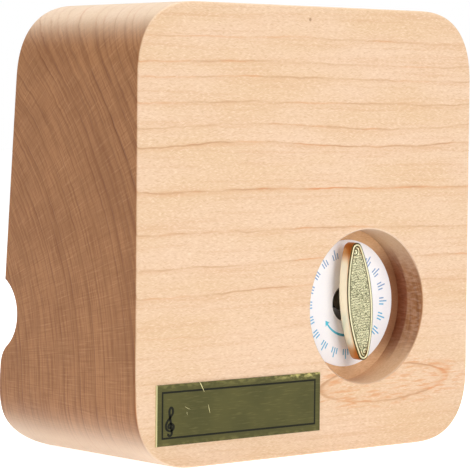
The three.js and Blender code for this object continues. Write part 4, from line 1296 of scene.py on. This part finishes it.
def slot_cutter(x):
    """A slot's space, flared at both faces of the board so that its rims are broken."""
    flares = [edge_break + overrun, edge_break, 0, 0, edge_break, edge_break + overrun]
    levels = [cover_low[2] - overrun, *cover_levels, cover_high[2] + overrun]
    outlines = [stadium(slot_half_length + flare, slot_half_width + flare) for flare in flares]
    return piece_from_grids("slot_cutter", stacked(outlines, levels, (x, cover_middle[1])))


for number in range(slot_count):
    slot_x = cover_middle[0] + (number - (slot_count - 1) / 2) * slot_spacing
    combine(board, slot_cutter(slot_x), "DIFFERENCE")
print("cover:", np.round(cover_high - cover_low, 2), "mm")

# %% Countersunk screws
screw_head_radius = 2.1
screw_head_height = 1.4
screw_shank_radius = 0.95
thread_height = 0.2
thread_pitch = 0.9
head_easing = 0.08
head_rim = 0.25
blank_length = 0.1
point_length, point_tip = 1.5, 0.4
cross_width, cross_reach, cross_depth = 0.34, 1.25, 0.75
cross_wall, cross_end = 0.12, 0.5
head_room, shank_room = 0.4, 0.45
round_steps, face_rings, thread_rings = 72, 28, 90
turn_step = 0.7
cover_screws = [f"cover_screw_{number}" for number in range(1, 5)]


def screw_place(node):
    """The axis (X, Y), the head's face and the tip of a packed screw, in millimetres."""
    low, high = millimetres(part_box(node))
    return (low + high)[:2] / 2, low[2], high[2]


def cross_recess(x, y):
    """Depth of a cross-shaped recess: deep on its two bars, with walls that slope to the face."""
    near, far = np.minimum(np.abs(x), np.abs(y)), np.maximum(np.abs(x), np.abs(y))
    wall = np.clip((cross_width - near) / cross_wall, 0, 1)
    end = np.clip((cross_reach - far) / cross_end, 0, 1)
    return cross_depth * wall * end


def screw_piece(name, centre, face, tip, turn):
    """A countersunk screw: head with its cross recess, then a shank with a helical thread.

    The shank's radius rises and falls with the angle plus the height over the pitch.
    """
    angle = np.linspace(0, 2 * math.pi, round_steps, endpoint=False)
    radius = np.linspace(0, screw_head_radius - head_easing, face_rings)[:, None]
    x, y = radius * np.cos(angle), radius * np.sin(angle)
    spun_x = x * math.cos(turn) - y * math.sin(turn)
    spun_y = x * math.sin(turn) + y * math.cos(turn)
    top = np.stack([spun_x, spun_y, face + cross_recess(x, y)], -1)
    neck = face + screw_head_height
    rim = [(screw_head_radius, face + rise) for rise in (head_easing, head_rim)]
    rim.append((screw_shank_radius, neck))
    height = np.linspace(neck + blank_length, tip - point_length, thread_rings)[:, None]
    ridge = np.cos(angle - 2 * math.pi * height / thread_pitch)
    shank = screw_shank_radius + thread_height * np.clip(ridge, 0, 1) ** 2
    body = np.stack(np.broadcast_arrays(shank * np.cos(angle), shank * np.sin(angle), height), -1)
    point = [(screw_shank_radius / 2, tip - point_tip), (0, tip)]
    rim, point = (upright(profile, (0, 0), round_steps) for profile in (rim, point))
    grid = np.concatenate([top, rim, body, point]) + (*centre, 0)
    return piece_from_grids(name, [(grid, False, True)], smooth_angle=35)


# %% Screws in the cover
def sink_cutter(centre, face):
    """The space of a screw in the board: a broken rim, a cone for the head and a free hole."""
    sink_radius = screw_head_radius + head_room
    hole_radius = screw_shank_radius + shank_room
    profile = [
        (0, face - overrun),
        (sink_radius, face - overrun),
        (sink_radius, cover_low[2] + edge_break),
        (hole_radius, face + screw_head_height + head_room),
        (hole_radius, cover_high[2] + overrun),
        (0, cover_high[2] + overrun),
    ]
    return piece_from_grids("sink_cutter", [(upright(profile, centre), False, True)])


screw_pieces = []
for number, node in enumerate(cover_screws):
    centre, face, tip = screw_place(node)
    combine(board, sink_cutter(centre, face), "DIFFERENCE")
    piece = screw_piece(f"countersunk_{node}", centre, face, tip, turn=turn_step * number)
    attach(piece, "case")
    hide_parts(node)
    screw_pieces.append(piece)
smooth_below(board.data)
print("cover has", slot_count, "slots and", len(screw_pieces), "screws")

# %% Birch plywood
def plywood():
    """Three plies of birch: the faces show grain along X, and the middle ply shows its cut ends."""
    ply = Finish("birch_plywood", roughness=0.6)
    place = ply.parts(ply.place)
    grain = ply.noise(ply.stretched(0.06, 1, 1), 0.7, detail=3)
    figure = ply.noise(ply.stretched(0.12, 1, 1), 6, detail=2)
    face = ply.fade(figure, 0.35, 0.65, colour(222, 184, 138), colour(206, 164, 116))
    ends = ply.noise(ply.stretched(1, 1, 0.5), 0.35, detail=2)
    core = ply.fade(ends, 0.35, 0.65, colour(158, 112, 70), colour(128, 86, 50))
    from_middle = ply.apart(place["Z"], (cover_low[2] + cover_high[2]) / 2)
    middle = ply.ease(from_middle, 0.45, 0.55, 1, 0)
    glue = ply.times(ply.ease(from_middle, 0.4, 0.5), ply.ease(from_middle, 0.5, 0.62, 1, 0))
    tone = ply.coats(
        face,
        (ply.ease(grain, 0.5, 0.75, 0, 0.6), colour(172, 128, 84)),
        (middle, core),
        (ply.times(glue, 0.7), colour(84, 54, 34)),
    )
    ply.bump(grain, 0.04)
    return ply.done(tone)


dress(board, plywood())
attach(board, "case")
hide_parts("bottom_cover")

# %% [markdown]
# ## Finishes of the movement
# The movement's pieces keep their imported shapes. Each gets the finish of its metal: ground and
# turned pieces show fine lines, castings a faint grain like orange peel, blued springs run from
# blue to straw, and moulded nylon is a little cloudy. One loop reads from the record which finish
# each piece takes, so a piece that is added later is dressed too.

# %% Metals and nylon
def turned_metal(name, light, dark, roughness):
    """Metal with fine lines along Z, as grinding leaves, under a faint film in two tones."""
    metal = Finish(name, roughness=roughness, metallic=1.0)
    lines = metal.noise(metal.stretched(1, 1, 0.15), 0.18, detail=2)
    film = metal.noise(metal.place, 3.5, detail=2)
    tone = metal.fade(film, 0.35, 0.65, light, dark)
    polish = metal.ease(lines, 0.3, 0.7, roughness * 0.8, roughness * 1.3)
    metal.feed(metal.shader.inputs["Roughness"], polish)
    metal.bump(lines, 0.004)
    return metal.done(tone)


def cast_zinc():
    """Die-cast zinc: satin grey darkened as painted shade, with a pebbled skin and duller patches."""
    zinc = Finish("cast_zinc", roughness=0.45, metallic=0.9)
    skin = zinc.noise(zinc.place, 0.4, detail=3)
    patch = zinc.noise(zinc.place, 5, detail=2)
    zinc.bump(skin, 0.02)
    # The zinc grey is darker than bare zinc: painted shade, so that the parts seen down the shaft hole
    # look dark.
    return zinc.done(zinc.fade(patch, 0.35, 0.65, colour(128, 127, 122), colour(100, 99, 96)))


def blued_steel():
    """Spring steel, blue with straw where it cooled fast."""
    spring = Finish("blued_steel", roughness=0.3, metallic=1.0)
    heat = spring.noise(spring.place, 2.5, detail=2)
    spring.bump(spring.noise(spring.place, 0.2), 0.003)
    return spring.done(spring.fade(heat, 0.4, 0.75, colour(62, 78, 112), colour(150, 124, 84)))


def nylon():
    """Moulded nylon: off-white, with light that goes a little way in."""
    plastic = Finish("natural_nylon", roughness=0.45)
    cloud = plastic.noise(plastic.place, 2.0, detail=2)
    plastic.shader.inputs["Subsurface Weight"].default_value = 0.2
    plastic.shader.inputs["Subsurface Scale"].default_value = 0.5 * MM
    plastic.bump(cloud, 0.01)
    return plastic.done(plastic.blend(cloud, colour(232, 228, 212), colour(218, 212, 192)))


finishes = {
    "steel": turned_metal("ground_steel", colour(196, 198, 200), colour(172, 175, 178), 0.28),
    "brass": turned_metal("turned_brass", colour(222, 184, 108), colour(200, 160, 86), 0.27),
    "cast_zinc": cast_zinc(),
    "spring_steel": blued_steel(),
    "nylon": nylon(),
}
remade = {"case_block", "winding_label", "title_plate", "winding_key", "bottom_cover", *cover_screws}
for part in frame["record"]["subparts"]:
    if part["node"] not in remade:
        dress(nodes[part["node"]], finishes[part["material_slot"]])
for piece in screw_pieces:
    dress(piece, finishes["steel"])
print("finishes:", ", ".join(sorted(finishes)), "on", len(nodes) - len(remade), "packed pieces")

# %% [markdown]
# ## Stage and light
# The picture was taken on white, with soft light from above and from the side that the back looks
# to. So one round lamp stands for a window opposite the back, one stands for the sky above, and the
# world adds a weak even white. The camera sees the world as pure white, and the floor glows for it,
# a little less near the block, so that the soft shadow there stays.

# %% Makers of light
def lamp(name, place, aim, size, power):
    """A round soft light at a place, turned to a point, in metres and watts."""
    light = bpy.data.lights.new(name, "AREA")
    light.shape = "DISK"
    light.size = size
    light.energy = power
    stand = placed(name, light)
    stand.location = place
    stand.rotation_euler = (Vector(aim) - Vector(place)).to_track_quat("-Z", "Y").to_euler()


def lifted_white(tree, target, strength):
    """Gives target white for what the camera, mirrors and glass see, and strength for the rest."""
    rays = tree.nodes.new("ShaderNodeLightPath").outputs
    seen = rays["Is Camera Ray"]
    for kind in ("Is Glossy Ray", "Is Transmission Ray"):
        either = tree.nodes.new("ShaderNodeMath")
        either.operation = "MAXIMUM"
        tree.links.new(seen, either.inputs[0])
        tree.links.new(rays[kind], either.inputs[1])
        seen = either.outputs[0]
    level = tree.nodes.new("ShaderNodeMix")
    level.inputs["A"].default_value = strength
    level.inputs["B"].default_value = 1.0
    tree.links.new(seen, level.inputs["Factor"])
    tree.links.new(level.outputs[0], target)
    return level


# %% Lamps and world
block_middle = (0, 0, 0.05)
world_level = 0.05
lamp("window", (-0.05, 0.8, 0.4), block_middle, size=0.6, power=3.7)
lamp("sky", (0.08, 0.0, 0.8), block_middle, size=0.6, power=5.4)
bpy.context.scene.view_settings.view_transform = "Standard"

world = bpy.data.worlds.new("studio")
world.use_nodes = True
bpy.context.scene.world = world
surround = world.node_tree.nodes["Background"]
surround.inputs["Color"].default_value = (1, 1, 1, 1)
lifted_white(world.node_tree, surround.inputs["Strength"], world_level)
print("lamps:", len(bpy.data.lights), "and a world of", world_level)

# %% Floor
floor_reach = 3.0
floor_gap = 0.05
floor_glow = 0.4
near_glow, far_glow = 0.8, 1.0
near_block, far_from_block = 100, 400


def floor_finish():
    """White paper: it takes light, and for the camera it also glows, less near the block."""
    floor = Finish("white_floor", roughness=0.9)
    floor.shader.inputs["Specular IOR Level"].default_value = 0.0
    floor.shader.inputs["Base Color"].default_value = colour(250, 250, 250)
    floor.shader.inputs["Emission Color"].default_value = (1, 1, 1, 1)
    level = lifted_white(floor.tree, floor.shader.inputs["Emission Strength"], floor_glow)
    away = floor.vector("LENGTH", floor.place)
    floor.feed(level.inputs["B"], floor.ease(away, near_block, far_from_block, near_glow, far_glow))
    return floor.material


floor_points = np.array([[(-1, -1), (-1, 1)], [(1, -1), (1, 1)]]) * floor_reach / MM
floor_points = np.concatenate([floor_points, np.full((2, 2, 1), -floor_gap)], -1)
floor = placed("floor", mesh_from_grids("floor", [(floor_points, False, False)]))
dress(floor, floor_finish())
print("floor reaches", floor_reach, "m")
